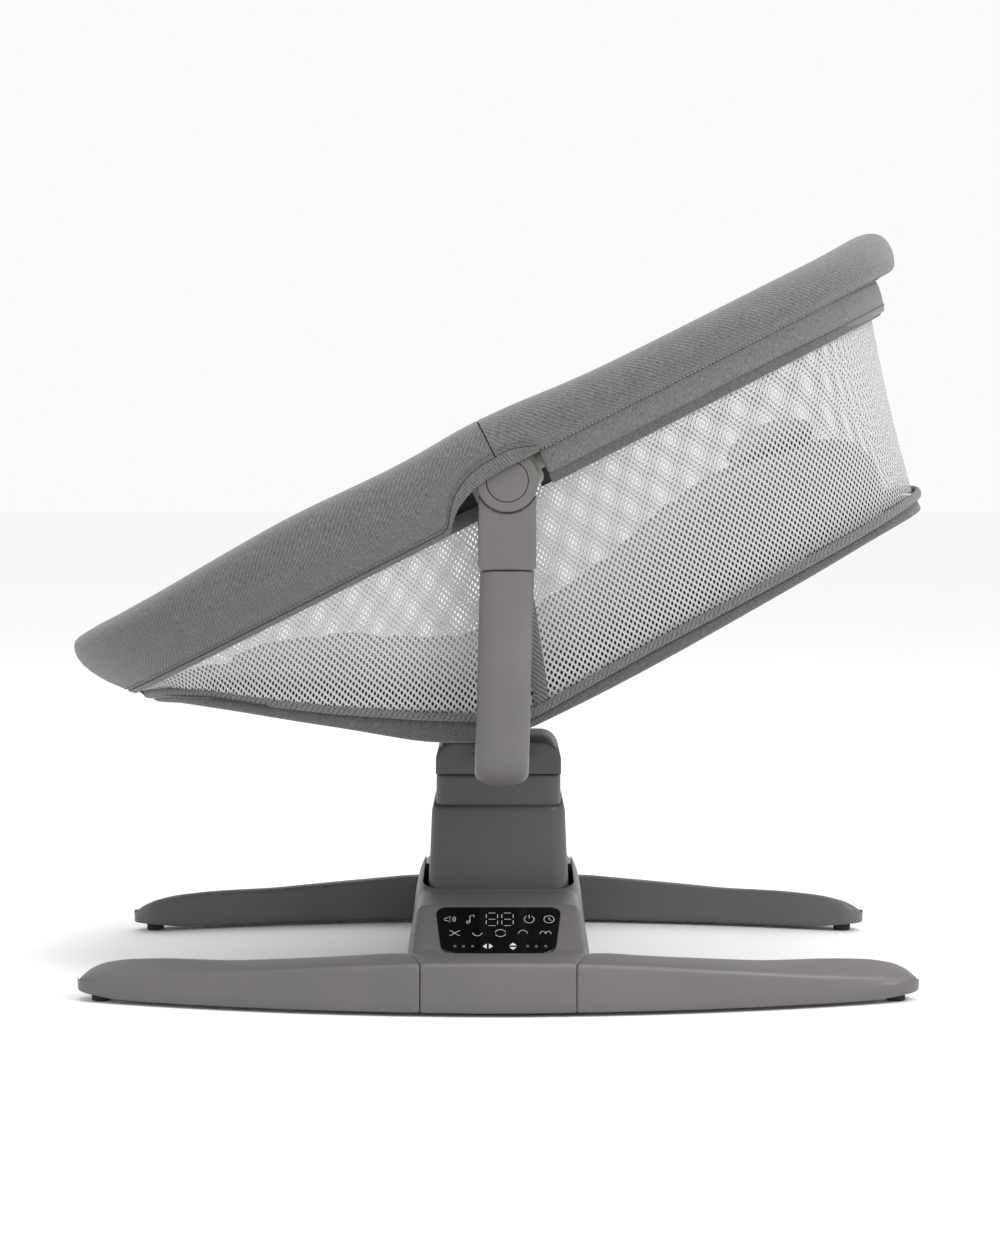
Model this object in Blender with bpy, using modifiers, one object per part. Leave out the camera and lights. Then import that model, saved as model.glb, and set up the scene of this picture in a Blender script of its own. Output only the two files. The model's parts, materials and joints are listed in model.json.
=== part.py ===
"""Electric baby swing: a tilting bassinet basket on a yoke, carried by a rocking, lifting tower.

Frame: +X to the baby's head, +Y to the back, +Z up, origin on the floor under the middle of the
base. Sizes below are millimetres; every mesh is scaled to metres when it is made. The basket is
modelled flat about its pivot axis, x along the rim and z square to it, and hangs on an empty that
carries the tilt.
"""
import math

import bmesh
import bpy
from mathutils import Matrix, Vector

UNIT = 0.001  # metres in a millimetre
GAP = 0.3  # air between pieces that touch

# basket tilt and pivot
TILT = 26.9
PIVOT_X = 8.0
PIVOT_Z = 481.0
RIM_FOOT = 410.0  # rim tube, pivot to foot end
RIM_HEAD = 396.0
RIM_HALF = 236.0  # rim tube, half width
RIM_SQUARE = 2.9  # how square the rim's rounded ends are
RIM_LEVEL = 30.0  # rim tube above the pivot axis
TUBE_R = 9.0
HEM_LEVEL = -20.0
WALL = 2.4  # air-mesh wall

# yoke
ARM_Y = 262.0
ARM_WIDTH = 49.0
ARM_THICK = 24.0
ARM_LOW = 215.0
ARM_LEAN = 5.0  # the arm stands this much further to the foot end at its bottom
ARM_TOP = 399.7
HEAD_WIDTH = 52.5
HEAD_THICK = 26.0
HUB_R = 28.0
PIN_R = 6.0
BUTTON_R = 18.7
BUTTON_FACE = 275.8
BUTTON_BACK = 270.0
BEAM = (40.0, 16.0, 110.0)  # width, height, half length

# tower
ROCK_Z = 50.0
SHAFT_R = 8.0
LOWER_TOP = 165.0
UPPER_HALF = (61.0, 71.3)
UPPER_BASE = 90.0
UPPER_TOP = 195.0
CAP_TOP = 228.0
SCREW_R = 5.0
ROD_R = 4.0
ROD_X = 36.0
CARRIAGE_Z = 146.0

# rocking gear
MODULE = 4.0 / 3.0
SECTOR_TEETH = 54
PINION_TEETH = 12

# base
LEG_END = 389.0
SEAM_X = 70.0
LEG_MID_Y = 265.5
LEG_BOW = 72.5
BASE_LOW = 3.0
DECK_Z = 84.0
SLOPE_START = 178.0
SLOPE_END = 235.0
SLOPE_LOW = 46.0
COLLAR_TOP = 105.0
COLLAR_HALF_Y = 82.0
SHELL = 4.0
GLASS = (58.5, 52.0, 62.0, 10.0, 2.0)  # half width at top and bottom, height, corner, thickness
PAD_X = 368.0  # foot pads

PLASTIC = ((0.155, 0.150, 0.148), 0.55, 0.0)
DARK_PLASTIC = ((0.085, 0.083, 0.083), 0.55, 0.0)
BRACKET_GREY = ((0.42, 0.42, 0.40), 0.55, 0.0)
STEEL = ((0.55, 0.55, 0.56), 0.35, 1.0)
BRASS = ((0.62, 0.47, 0.22), 0.35, 1.0)
GLASS_BLACK = ((0.004, 0.004, 0.005), 0.08, 0.0)
BOARD_GREEN = ((0.03, 0.16, 0.07), 0.5, 0.0)
RUBBER = ((0.03, 0.03, 0.03), 0.85, 0.0)
TWILL = ((0.19, 0.19, 0.185), 0.9, 0.0)
MESH_GREY = ((0.60, 0.60, 0.61), 0.9, 0.0)
PAD_CLOTH = ((0.22, 0.22, 0.22), 0.95, 0.0)
HARDBOARD = ((0.35, 0.25, 0.16), 0.8, 0.0)

PARTS = "baby_swing"
CUTTERS = "cutters"


# ---------------------------------------------------------------- scene helpers
def clear_scene():
    for obj in list(bpy.data.objects):
        bpy.data.objects.remove(obj, do_unlink=True)
    for name in (PARTS, CUTTERS):
        group = bpy.data.collections.new(name)
        bpy.context.scene.collection.children.link(group)


def material(name, finish):
    colour, roughness, metallic = finish
    mat = bpy.data.materials.new(name)
    mat.use_nodes = True
    shader = mat.node_tree.nodes["Principled BSDF"]
    shader.inputs["Base Color"].default_value = (*colour, 1.0)
    shader.inputs["Roughness"].default_value = roughness
    shader.inputs["Metallic"].default_value = metallic
    return mat


def axis_empty(name, place, turn_y=0.0, parent=None):
    """An empty on a joint's axis, which the pieces of one moving body hang on."""
    empty = bpy.data.objects.new(name, None)
    bpy.data.collections[PARTS].objects.link(empty)
    matrix = Matrix.Translation(Vector(place) * UNIT) @ Matrix.Rotation(math.radians(turn_y), 4, "Y")
    if parent:
        empty.parent = parent
    empty.matrix_world = matrix
    bpy.context.view_layer.update()
    return empty


def finish_mesh(bm, name, finish, body=None, in_basket=False, smooth=32.0):
    """Turns a mesh in millimetres into a named object in metres on its body's empty."""
    bmesh.ops.scale(bm, vec=(UNIT, UNIT, UNIT), verts=bm.verts)
    bmesh.ops.recalc_face_normals(bm, faces=bm.faces)
    mesh = bpy.data.meshes.new(name)
    bm.to_mesh(mesh)
    bm.free()
    mesh.shade_smooth()
    mesh.set_sharp_from_angle(angle=math.radians(smooth))
    obj = bpy.data.objects.new(name, mesh)
    bpy.data.collections[PARTS].objects.link(obj)
    mesh.materials.append(material(name, finish))
    if body:
        obj.parent = body
        if not in_basket:
            obj.matrix_parent_inverse = body.matrix_world.inverted()
    return obj


def loft(name, rings, finish, body=None, caps=True, loop=False, **more):
    """Skins a row of matching closed rings, each a list of points."""
    bm = bmesh.new()
    rows = [[bm.verts.new(p) for p in ring] for ring in rings]
    pairs = list(zip(rows, rows[1:] + rows[:1])) if loop else list(zip(rows, rows[1:]))
    for near, far in pairs:
        count = len(near)
        for i in range(count):
            j = (i + 1) % count
            bm.faces.new((near[i], near[j], far[j], far[i]))
    if caps and not loop:
        bm.faces.new(rows[0])
        bm.faces.new(reversed(rows[-1]))
    return finish_mesh(bm, name, finish, body, **more)


def block(name, size, centre, finish, body=None, bevel=0.0, **more):
    bm = bmesh.new()
    bmesh.ops.create_cube(bm, size=1.0)
    bmesh.ops.scale(bm, vec=size, verts=bm.verts)
    bmesh.ops.translate(bm, vec=centre, verts=bm.verts)
    obj = finish_mesh(bm, name, finish, body, **more)
    if bevel:
        mod = obj.modifiers.new("round", "BEVEL")
        mod.width = bevel * UNIT
        mod.segments = 2
    return obj


def cylinder(name, radius, start, end, finish, body=None, sides=24, **more):
    """A round bar between two points."""
    start, end = Vector(start), Vector(end)
    axis = end - start
    turn = axis.to_track_quat("Z", "Y").to_matrix().to_4x4()
    bm = bmesh.new()
    bmesh.ops.create_cone(bm, cap_ends=True, segments=sides, radius1=radius, radius2=radius,
                          depth=axis.length,
                          matrix=Matrix.Translation((start + end) / 2) @ turn)
    return finish_mesh(bm, name, finish, body, **more)


def tube(name, points, radius, finish, body=None, loop=False):
    """A bent round tube along a row of points, in the basket's own frame."""
    curve = bpy.data.curves.new(name, "CURVE")
    curve.dimensions = "3D"
    curve.bevel_depth = radius * UNIT
    curve.bevel_resolution = 2
    curve.use_fill_caps = not loop
    spline = curve.splines.new("POLY")
    spline.points.add(len(points) - 1)
    for point, place in zip(spline.points, points):
        point.co = (*(Vector(place) * UNIT), 1.0)
    spline.use_cyclic_u = loop
    obj = bpy.data.objects.new(name, curve)
    bpy.data.collections[PARTS].objects.link(obj)
    curve.materials.append(material(name, finish))
    obj.parent = body
    return obj


def as_cutter(obj):
    bpy.data.collections[PARTS].objects.unlink(obj)
    bpy.data.collections[CUTTERS].objects.link(obj)
    obj.hide_render = True
    obj.display_type = "WIRE"
    return obj


def boolean(obj, tool, operation="DIFFERENCE"):
    if tool.name not in bpy.data.collections[CUTTERS].objects:
        as_cutter(tool)
    mod = obj.modifiers.new(operation.lower(), "BOOLEAN")
    mod.operation = operation
    mod.object = tool
    mod.solver = "EXACT"


def hollow(obj, thickness):
    mod = obj.modifiers.new("wall", "SOLIDIFY")
    mod.thickness = thickness * UNIT
    mod.offset = -1.0
    mod.use_even_offset = True


# ---------------------------------------------------------------- shape helpers
def along(points, x):
    """Straight-line interpolation through a short row of (x, value) points."""
    if x <= points[0][0]:
        return points[0][1]
    for (x0, v0), (x1, v1) in zip(points, points[1:]):
        if x <= x1:
            return v0 + (v1 - v0) * (x - x0) / (x1 - x0)
    return points[-1][1]


def mix(a, b, share):
    return tuple(p + (q - p) * share for p, q in zip(a, b))


def rounded_ring(half_x, half_y, radius, z, steps=4):
    ring = []
    for quarter, (sx, sy) in enumerate(((1, 1), (-1, 1), (-1, -1), (1, -1))):
        for k in range(steps + 1):
            angle = math.radians(90 * quarter + 90 * k / steps)
            ring.append((sx * (half_x - radius) + radius * math.cos(angle),
                         sy * (half_y - radius) + radius * math.sin(angle), z))
    return ring


def squircle(half_long, half_wide, angle, square=RIM_SQUARE):
    """A point of the basket's rounded plan, at an angle from the long axis."""
    c, s = math.cos(angle), math.sin(angle)
    power = 2.0 / square
    return (half_long * math.copysign(abs(c) ** power, c),
            half_wide * math.copysign(abs(s) ** power, s))


def squircle_width(x, half_long, half_wide, square=RIM_SQUARE):
    share = min(abs(x) / half_long, 1.0)
    return half_wide * (1.0 - share ** square) ** (1.0 / square)


def plan_angles(half_long, straight, round_steps, square=RIM_SQUARE):
    """Angles of the stations round one half of the basket: at given x along the straight side,
    then evenly round the end, and back along the far side."""
    side = [math.acos((x / half_long) ** (square / 2.0)) for x in straight]
    last = side[-1]
    bend = [last * (1.0 - k / round_steps) for k in range(1, round_steps)]
    one = side + bend
    return [-a for a in one] + [0.0] + one[::-1]


def rim_stations(end, half_long, straight, round_steps):
    """Points on the rim tube's plan with their outward direction, from -Y round the end to +Y."""
    rows = []
    for angle in plan_angles(half_long, straight, round_steps):
        x, y = squircle(half_long, RIM_HALF, angle)
        nx = abs(x / half_long) ** (RIM_SQUARE - 1) / half_long
        ny = math.copysign(abs(y / RIM_HALF) ** (RIM_SQUARE - 1) / RIM_HALF, y)
        size = math.hypot(nx, ny)
        rows.append((end * x, y, end * nx / size, ny / size))
    return rows


def section_ring(station, section):
    """Places a section, given as (outward, up) from the tube's plan, at one station."""
    x, y, nx, ny = station
    return [(x + nx * n, y + ny * n, w) for n, w in section]


# ---------------------------------------------------------------- base
def leg_half(x):
    half = 22.5 - 5.5 * x / LEG_END
    nose = max(0.0, (x - 374.0) / (LEG_END + 1.2 - 374.0))
    return half * math.sqrt(1.0 - nose * nose)


def leg_ring(x, side_x, side_y, inset=0.0, reach_in=0.0):
    """The leg's section at x, counted away from the middle of the base."""
    mid = LEG_MID_Y - LEG_BOW * (x / LEG_END) ** 2
    out = leg_half(x) - inset
    inner = leg_half(x) - inset + reach_in
    low = along([(345, BASE_LOW), (LEG_END, 9)], x) - inset * 3
    edge = along([(70, 48), (132, 45), (222, 38), (285, 32), (350, 27), (380, 23), (389, 19)], x)
    crest = along([(90, 52), (180, 45), (245, 41), (310, 41), (350, 38), (376, 32), (389, 20)], x)
    edge -= inset
    crest -= inset
    section = ((out - 1.5, low), (out, low + 9), (out - 2, edge - 4), (out - 6, edge),
               (-inner + 7, crest), (-inner + 1.5, crest - 5), (-inner, low))
    return [(side_x * x, side_y * (mid + n), z) for n, z in section]


def leg(name, side_x, side_y):
    stations = [SEAM_X + GAP, 100, 140, 180, 220, 260, 300, 340, 362, 376, 384, LEG_END]
    obj = loft(name, [leg_ring(x, side_x, side_y) for x in stations], PLASTIC)
    inside = [SEAM_X - 5, 100, 140, 180, 220, 260, 300, 340, 362, 376]
    core = loft(name + "_core", [leg_ring(x, side_x, side_y, inset=3.0) for x in inside], PLASTIC)
    boolean(obj, core)
    return obj


def housing_ring(y, inset=0.0):
    """The cross housing's section at y: flank from the floor up to the deck, then mirrored."""
    front = ((87, BASE_LOW), (86.5, 14), (86, 28), (84, 38), (78, SLOPE_LOW))
    deck = ((87, BASE_LOW), (86, 25), (84.5, 46), (80, 68), (73, DECK_Z))
    collar = ((87, BASE_LOW), (86, 25), (84.5, 50), (79.5, 88), (72.8, COLLAR_TOP))
    distance = abs(y)
    if distance < COLLAR_HALF_Y:
        share = 1.0 - (distance / COLLAR_HALF_Y) ** 2
        flank = [mix(d, c, share) for d, c in zip(deck, collar)]
    else:
        share = min(max((distance - SLOPE_START) / (SLOPE_END - SLOPE_START), 0.0), 1.0)
        flank = [mix(d, f, share) for d, f in zip(deck, front)]
    flank = [(x - inset, z - inset) for x, z in flank]
    flank[0] = (flank[0][0], BASE_LOW - inset * 3)
    return [(x, y, z) for x, z in flank] + [(-x, y, z) for x, z in reversed(flank)]


def glass_outline(grow=0.0):
    """The control glass, a trapezium with round corners, x across and y up the slope."""
    top, bottom, height, corner, _ = GLASS
    corners = ((-bottom, -height / 2), (bottom, -height / 2), (top, height / 2), (-top, height / 2))
    outline = []
    for i, point in enumerate(corners):
        here = Vector(point)
        before = (Vector(corners[i - 1]) - here).normalized()
        after = (Vector(corners[(i + 1) % 4]) - here).normalized()
        for k in range(5):
            t = k / 4
            start, end = here + before * corner, here + after * corner
            spot = (1 - t) ** 2 * start + 2 * t * (1 - t) * here + t * t * end
            outline.append(spot * (1 + grow / height))
    return outline


def slope_point(x, up, depth):
    """A point on the front slope: up along it from its middle, depth under its surface."""
    mid_y, mid_z = -(SLOPE_START + SLOPE_END) / 2, (DECK_Z + SLOPE_LOW) / 2
    run, rise = SLOPE_END - SLOPE_START, DECK_Z - SLOPE_LOW
    length = math.hypot(run, rise)
    cy, cz = run / length, rise / length
    return (x, mid_y + up * cy + depth * cz, mid_z + up * cz - depth * cy)


def slope_slab(name, outline, shallow, deep, finish):
    rings = [[slope_point(p[0], p[1], depth) for p in outline] for depth in (shallow, deep)]
    return loft(name, rings, finish)


def base_housing():
    stations = [-239, -SLOPE_END, -SLOPE_START, -130, -82, -62, -40, -15,
                15, 40, 62, 82, 130, SLOPE_START, SLOPE_END, 239]
    obj = loft("base_housing", [housing_ring(y) for y in stations], PLASTIC)
    across = [-SEAM_X, -35, 0, 35, SEAM_X]
    for side, label in ((-1, "front"), (1, "rear")):
        bar = [[(x, y, z) for _, y, z in leg_ring(abs(x), 1, side, reach_in=10)] for x in across]
        boolean(obj, loft(f"{label}_bar", bar, PLASTIC), "UNION")
    room = [y for y in stations if abs(y) < 239]
    boolean(obj, loft("housing_room", [housing_ring(y, SHELL) for y in room], PLASTIC))
    for side, label in ((-1, "front"), (1, "rear")):
        bar = [[(x * 1.1, y, z) for _, y, z in leg_ring(abs(x), 1, side, inset=3, reach_in=5)]
               for x in across]
        boolean(obj, loft(f"{label}_bar_room", bar, PLASTIC))
    mouth = [rounded_ring(76.5, 81.5, 18, 60), rounded_ring(75, 81, 18, DECK_Z - 1),
             rounded_ring(71.3, 81, 16, COLLAR_TOP + 2)]
    boolean(obj, loft("column_mouth", mouth, PLASTIC))
    boolean(obj, slope_slab("glass_recess", glass_outline(0.8), -2.0, GLASS[4] + GAP, PLASTIC))
    boolean(obj, cylinder("inlet_hole", 6.3, (0, 270, 24), (0, 295, 24), PLASTIC))
    return obj


def base_pieces():
    base_housing()
    for side_y, row in ((-1, "front"), (1, "rear")):
        for side_x, end in ((-1, "foot"), (1, "head")):
            leg(f"leg_{row}_{end}", side_x, side_y)
            mid = LEG_MID_Y - LEG_BOW * (PAD_X / LEG_END) ** 2
            cylinder(f"foot_pad_{row}_{end}", 9.0, (side_x * PAD_X, side_y * mid, 0),
                     (side_x * PAD_X, side_y * mid, 4.6), RUBBER, sides=16)
    cover = block("base_bottom_cover", (160, 440, 3), (0, 0, BASE_LOW + 1.5), DARK_PLASTIC)
    for side_y, row in ((-1, "front"), (1, "rear")):
        bearing = block(f"rock_bearing_{row}", (60, 12, 54), (0, side_y * 62, 33.5), DARK_PLASTIC,
                        bevel=1.5)
        boolean(bearing, cylinder(f"bearing_bore_{row}", SHAFT_R + 0.1,
                                  (0, side_y * 50, ROCK_Z), (0, side_y * 74, ROCK_Z), STEEL))
        for side_x, end in ((-1, "foot"), (1, "head")):
            place = (side_x * 22, side_y * 62)
            hole = cylinder(f"screw_hole_{row}_{end}", 2.3, (*place, 0), (*place, 26), STEEL,
                            sides=12)
            boolean(cover, hole)
            boolean(bearing, hole)
            base_screw(f"base_screw_{row}_{end}", place)
    thick = GLASS[-1]
    slope_slab("control_panel_glass", glass_outline(), 0.0, thick, GLASS_BLACK)
    board = [Vector(p) for p in ((-48, -24), (48, -24), (48, 24), (-48, 24))]
    slope_slab("display_board", board, 8.0, 9.6, BOARD_GREEN)
    block("main_board", (100, 70, 1.6), (0, 165, 7.2), BOARD_GREEN)
    cylinder("speaker", 24.0, (-36, -140, 6.4), (-36, -140, 22), DARK_PLASTIC)
    inlet = cylinder("power_inlet", 5.9, (0, 272, 24), (0, 288.2, 24), DARK_PLASTIC)
    boolean(inlet, cylinder("inlet_socket", 2.8, (0, 278, 24), (0, 292, 24), DARK_PLASTIC,
                            sides=16))
    cylinder("rock_shaft", SHAFT_R, (0, -72, ROCK_Z), (0, 72, ROCK_Z), STEEL)


def base_screw(name, place):
    """A pan-head screw as one turned shape: head under the cover, shank up into the bearing."""
    profile = [(0, 1.0), (3.8, 1.0), (3.8, 2.7), (2.0, 2.7), (2.0, 24), (0, 24)]
    bm = bmesh.new()
    verts = [bm.verts.new((x, 0, z)) for x, z in profile]
    for a, b in zip(verts, verts[1:]):
        bm.edges.new((a, b))
    obj = finish_mesh(bm, name, STEEL)
    obj.location = (place[0] * UNIT, place[1] * UNIT, 0)
    mod = obj.modifiers.new("turn", "SCREW")
    mod.steps = mod.render_steps = 12
    mod.use_merge_vertices = True
    mod.merge_threshold = 0.00001
    mod.use_normal_calculate = True
    mod.use_normal_flip = True
    weld = obj.modifiers.new("weld", "WELD")
    weld.merge_threshold = 0.00001
    return obj


# ---------------------------------------------------------------- rocking gear
def gear_ring(centre_x, teeth, first, last, inner, turn, y, whole):
    """Gear outline round (centre_x, ROCK_Z). A whole gear's outline is closed by itself; a sector
    goes back along its inner arc."""
    pitch_r = MODULE * teeth / 2.0
    step = 2 * math.pi / teeth
    ring = []
    for k in range(first, last + 1):
        mid = turn + k * step
        for offset, radius in ((-0.31, pitch_r - 1.45), (-0.17, pitch_r + 1.05),
                               (0.17, pitch_r + 1.05), (0.31, pitch_r - 1.45)):
            angle = mid + offset * step
            ring.append((centre_x + radius * math.cos(angle), y,
                         ROCK_Z + radius * math.sin(angle)))
    if not whole:
        for k in range(last, first - 1, -2):
            angle = turn + k * step
            ring.append((centre_x + inner * math.cos(angle), y, ROCK_Z + inner * math.sin(angle)))
    return ring


def rock_gears(rocker, pinion_axis):
    sector_r = MODULE * SECTOR_TEETH / 2.0
    pinion_r = MODULE * PINION_TEETH / 2.0
    rings = [gear_ring(0, SECTOR_TEETH, -3, 3, SHAFT_R + 4, math.pi, y, False) for y in (-3, 3)]
    sector = loft("sector_gear", rings, BRASS, rocker, smooth=20.0)
    hub = cylinder("sector_hub", 15, (0, -3, ROCK_Z), (0, 3, ROCK_Z), BRASS, rocker)
    boolean(sector, hub, "UNION")
    boolean(sector, cylinder("sector_bore", SHAFT_R + 0.1, (0, -8, ROCK_Z), (0, 8, ROCK_Z),
                             BRASS, rocker))
    centre = -(sector_r + pinion_r + 0.25)
    half_tooth = math.pi / PINION_TEETH
    rings = [gear_ring(centre, PINION_TEETH, 0, PINION_TEETH - 1, 0, half_tooth, y, True)
             for y in (-5, 5)]
    pinion = loft("rock_pinion", rings, BRASS, pinion_axis, smooth=20.0)
    stub = cylinder("pinion_stub", 2.5, (centre, 4, ROCK_Z), (centre, 11, ROCK_Z), STEEL,
                    pinion_axis, sides=12)
    boolean(pinion, stub, "UNION")
    motor = cylinder("rock_motor", 12.0, (centre, 9, ROCK_Z), (centre, 54, ROCK_Z), STEEL)
    boolean(motor, cylinder("motor_bore", 2.8, (centre, 5, ROCK_Z), (centre, 14, ROCK_Z), STEEL,
                            sides=12))


def pinion_centre():
    return -(MODULE * (SECTOR_TEETH + PINION_TEETH) / 2.0 + 0.25)


# ---------------------------------------------------------------- rocking lower tower
def rocker_pieces(rocker, screw_axis, pinion_axis):
    rings = [rounded_ring(68.9, 80, 16, 62), rounded_ring(68.5, 79.7, 16, 82),
             rounded_ring(65.3, 76.5, 16, 157), rounded_ring(64.9, 76.1, 16, 162),
             rounded_ring(63.9, 75.1, 15, LOWER_TOP)]
    column = loft("lower_column", rings, DARK_PLASTIC, rocker, caps=False)
    hollow(column, 1.6)
    frame = block("rocker_frame", (118, 108, 6), (0, 0, 69), STEEL, rocker, bevel=1.0)
    for side in (-1, 1):
        ear = block(f"frame_ear_{side}", (34, 6, 36), (0, side * 44, 50), STEEL, rocker)
        boolean(frame, ear, "UNION")
    boolean(frame, cylinder("frame_bore", SHAFT_R + 0.1, (0, -60, ROCK_Z), (0, 60, ROCK_Z),
                            STEEL, rocker))
    rock_gears(rocker, pinion_axis)
    block("lift_motor", (36, 30, 34), (0, 32, 89.4), DARK_PLASTIC, rocker, bevel=3.0)
    for side, end in ((-1, "foot"), (1, "head")):
        cylinder(f"guide_rod_{end}", ROD_R, (side * ROD_X, 0, 72.4), (side * ROD_X, 0, 188),
                 STEEL, rocker, sides=16)
    cylinder("lift_screw", SCREW_R, (0, 0, 72.8), (0, 0, 186), STEEL, screw_axis, sides=16)


# ---------------------------------------------------------------- lifting upper tower and yoke
def column_cap(lift):
    half_x, half_y = UPPER_HALF

    def arch(grow, low):
        radius = 18.0
        top, side = CAP_TOP + grow, half_x + grow
        half = [(side, low), (side, top - radius)]
        for k in range(1, 6):
            angle = math.radians(18 * k)
            half.append((side - radius + radius * math.cos(angle),
                         top - radius + radius * math.sin(angle)))
        return half + [(-x, z) for x, z in reversed(half)]

    rings = [[(x, y, z) for x, z in arch(0, UPPER_TOP + GAP)] for y in (-half_y, half_y)]
    cap = loft("column_cap", rings, DARK_PLASTIC, lift)
    room = [[(x, y, z) for x, z in arch(-2.5, UPPER_TOP - 9)] for y in (2.5 - half_y, half_y - 2.5)]
    boolean(cap, loft("cap_room", room, DARK_PLASTIC, lift))
    return cap


def arm_rings(side):
    """The yoke arm: out level from the cap, round a bend, and straight up to its head."""
    bend = 20.0
    path = [(UPPER_HALF[1] + 0.5, ARM_LOW, 0.0)]
    for k in range(5):
        angle = math.radians(90 * k / 4)
        path.append((ARM_Y - bend + bend * math.sin(angle), ARM_LOW + bend - bend * math.cos(angle),
                     angle))
    path.append((ARM_Y, ARM_TOP, math.pi / 2))
    half, thick, corner = ARM_WIDTH / 2, ARM_THICK / 2, 5.0
    section = ((half, -thick + corner), (half, thick - corner), (half - corner, thick),
               (-half + corner, thick), (-half, thick - corner), (-half, -thick + corner),
               (-half + corner, -thick), (half - corner, -thick))
    rings = []
    for y, z, angle in path:
        ny, nz = -math.sin(angle), math.cos(angle)
        lean = ARM_LEAN * (ARM_TOP - z) / (ARM_TOP - ARM_LOW)
        rings.append([(PIVOT_X + x - lean, side * (y + n * ny), z + n * nz) for x, n in section])
    return rings


def head_outline(half, hub, low, grow=0.0):
    outline = [(half - grow, low), (half - grow, PIVOT_Z - 12)]
    for k in range(13):
        angle = math.radians(-20 + 220 * k / 12)
        outline.append(((hub - grow) * math.cos(angle), PIVOT_Z + (hub - grow) * math.sin(angle)))
    return outline + [(-half + grow, PIVOT_Z - 12), (-half + grow, low)]


def arm_head(name, side, lift):
    low, high = ARM_Y - HEAD_THICK / 2, ARM_Y + HEAD_THICK / 2
    rings = []
    for y, grow in ((low, 2.0), (low + 2, 0.0), (high - 2, 0.0), (high, 2.0)):
        outline = head_outline(HEAD_WIDTH / 2, HUB_R, ARM_TOP + GAP, grow)
        rings.append([(PIVOT_X + x, side * y, z) for x, z in outline])
    head = loft(name, rings, PLASTIC, lift)
    axis = (PIVOT_X, PIVOT_Z)
    boolean(head, cylinder(name + "_bore", PIN_R + 0.2, (axis[0], side * (low - 5), axis[1]),
                           (axis[0], side * 264.6, axis[1]), STEEL, lift, sides=20))
    boolean(head, cylinder(name + "_pocket", BUTTON_R + 0.4, (axis[0], side * 265.6, axis[1]),
                           (axis[0], side * (high + 5), axis[1]), STEEL, lift, sides=32))
    return head


def lift_pieces(lift):
    half_x, half_y = UPPER_HALF
    rings = [rounded_ring(half_x, half_y - 0.4, 15, UPPER_BASE),
             rounded_ring(half_x, half_y - 0.4, 15, UPPER_TOP)]
    column = loft("upper_column", rings, DARK_PLASTIC, lift, caps=False)
    hollow(column, 2.2)
    cap = column_cap(lift)
    beam_width, beam_height, beam_half = BEAM
    block("yoke_beam", (beam_width, 2 * beam_half, beam_height), (PIVOT_X, 0, ARM_LOW), STEEL, lift,
          bevel=1.0)
    socket = block("beam_socket", (beam_width + 0.8, 2 * beam_half + 0.8, beam_height + 0.8),
                   (PIVOT_X, 0, ARM_LOW), STEEL, lift)
    boolean(cap, socket)
    for side, row in ((-1, "front"), (1, "rear")):
        arm = loft(f"yoke_arm_{row}", arm_rings(side), PLASTIC, lift)
        boolean(arm, socket)
        arm_head(f"arm_head_{row}", side, lift)
    carriage = block("lift_carriage", (116, 40, 10), (0, 0, CARRIAGE_Z), DARK_PLASTIC, lift,
                     bevel=1.0)
    nut = cylinder("lift_nut_boss", 11, (0, 0, CARRIAGE_Z - 12), (0, 0, CARRIAGE_Z + 2),
                   DARK_PLASTIC, lift)
    boolean(carriage, nut, "UNION")
    for label, x, radius in (("screw", 0, SCREW_R), ("foot", -ROD_X, ROD_R), ("head", ROD_X, ROD_R)):
        boolean(carriage, cylinder(f"carriage_hole_{label}", radius + 0.2, (x, 0, CARRIAGE_Z - 20),
                                   (x, 0, CARRIAGE_Z + 20), STEEL, lift, sides=16))


def button(name, side, body):
    rings = []
    for y, radius in ((BUTTON_BACK, BUTTON_R), (BUTTON_FACE - 1.2, BUTTON_R),
                      (BUTTON_FACE, BUTTON_R - 1.2)):
        rings.append([(PIVOT_X + radius * math.cos(math.radians(k * 11.25)), side * y,
                       PIVOT_Z + radius * math.sin(math.radians(k * 11.25))) for k in range(32)])
    loft(name, rings, PLASTIC, body)


# ---------------------------------------------------------------- basket, in its own flat frame
FLOOR_LINE = [(-408, -25), (-372, -35), (-334, -54), (-277, -91), (-240, -115), (-170, -157),
              (-86, -203), (38, -197), (259, -193), (367, -190)]
UNDER_LINE = [(-408, -33), (-372, -45), (-334, -66), (-277, -105), (-240, -131), (-180, -178),
              (-136, -205), (-82, -216), (28, -216), (281, -206), (367, -206)]
PAD_LINE = [(-300, -25), (-225, -48), (-146, -102), (-90, -117), (0, -122), (75, -114),
            (158, -90), (300, -88)]
SKIRT_TUCK = 9.0  # how far the skirt and the wall's top draw in at the head end
WALL_TUCK = 14.0
FLOOR_HALF = 206.0
RIM_OUTER = [(-12, 16), (-16, 30), (-8, 44), (14, 51.5), (36, 50), (47.5, 36)]
RIM_INNER = [(42, 34), (32, 43.5), (14, 45.5), (-5, 40.5), (-12.5, 30), (-9.6, 18)]
FLOOR_HEAD = 351.0
FLOOR_FOOT = 404.0


def floor_half_width(x, grow=0.0):
    wide = along([(-400, 243), (-100, FLOOR_HALF), (400, FLOOR_HALF)], x) + grow
    reach = (FLOOR_HEAD if x > 0 else FLOOR_FOOT) + grow
    return squircle_width(x, reach, wide, 3.4)


def wall_top_offset(x):
    """How far outside the rim tube the wall hangs: close in where it passes the yoke heads."""
    return along([(60, 9), (120, 21)], abs(x))


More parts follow.
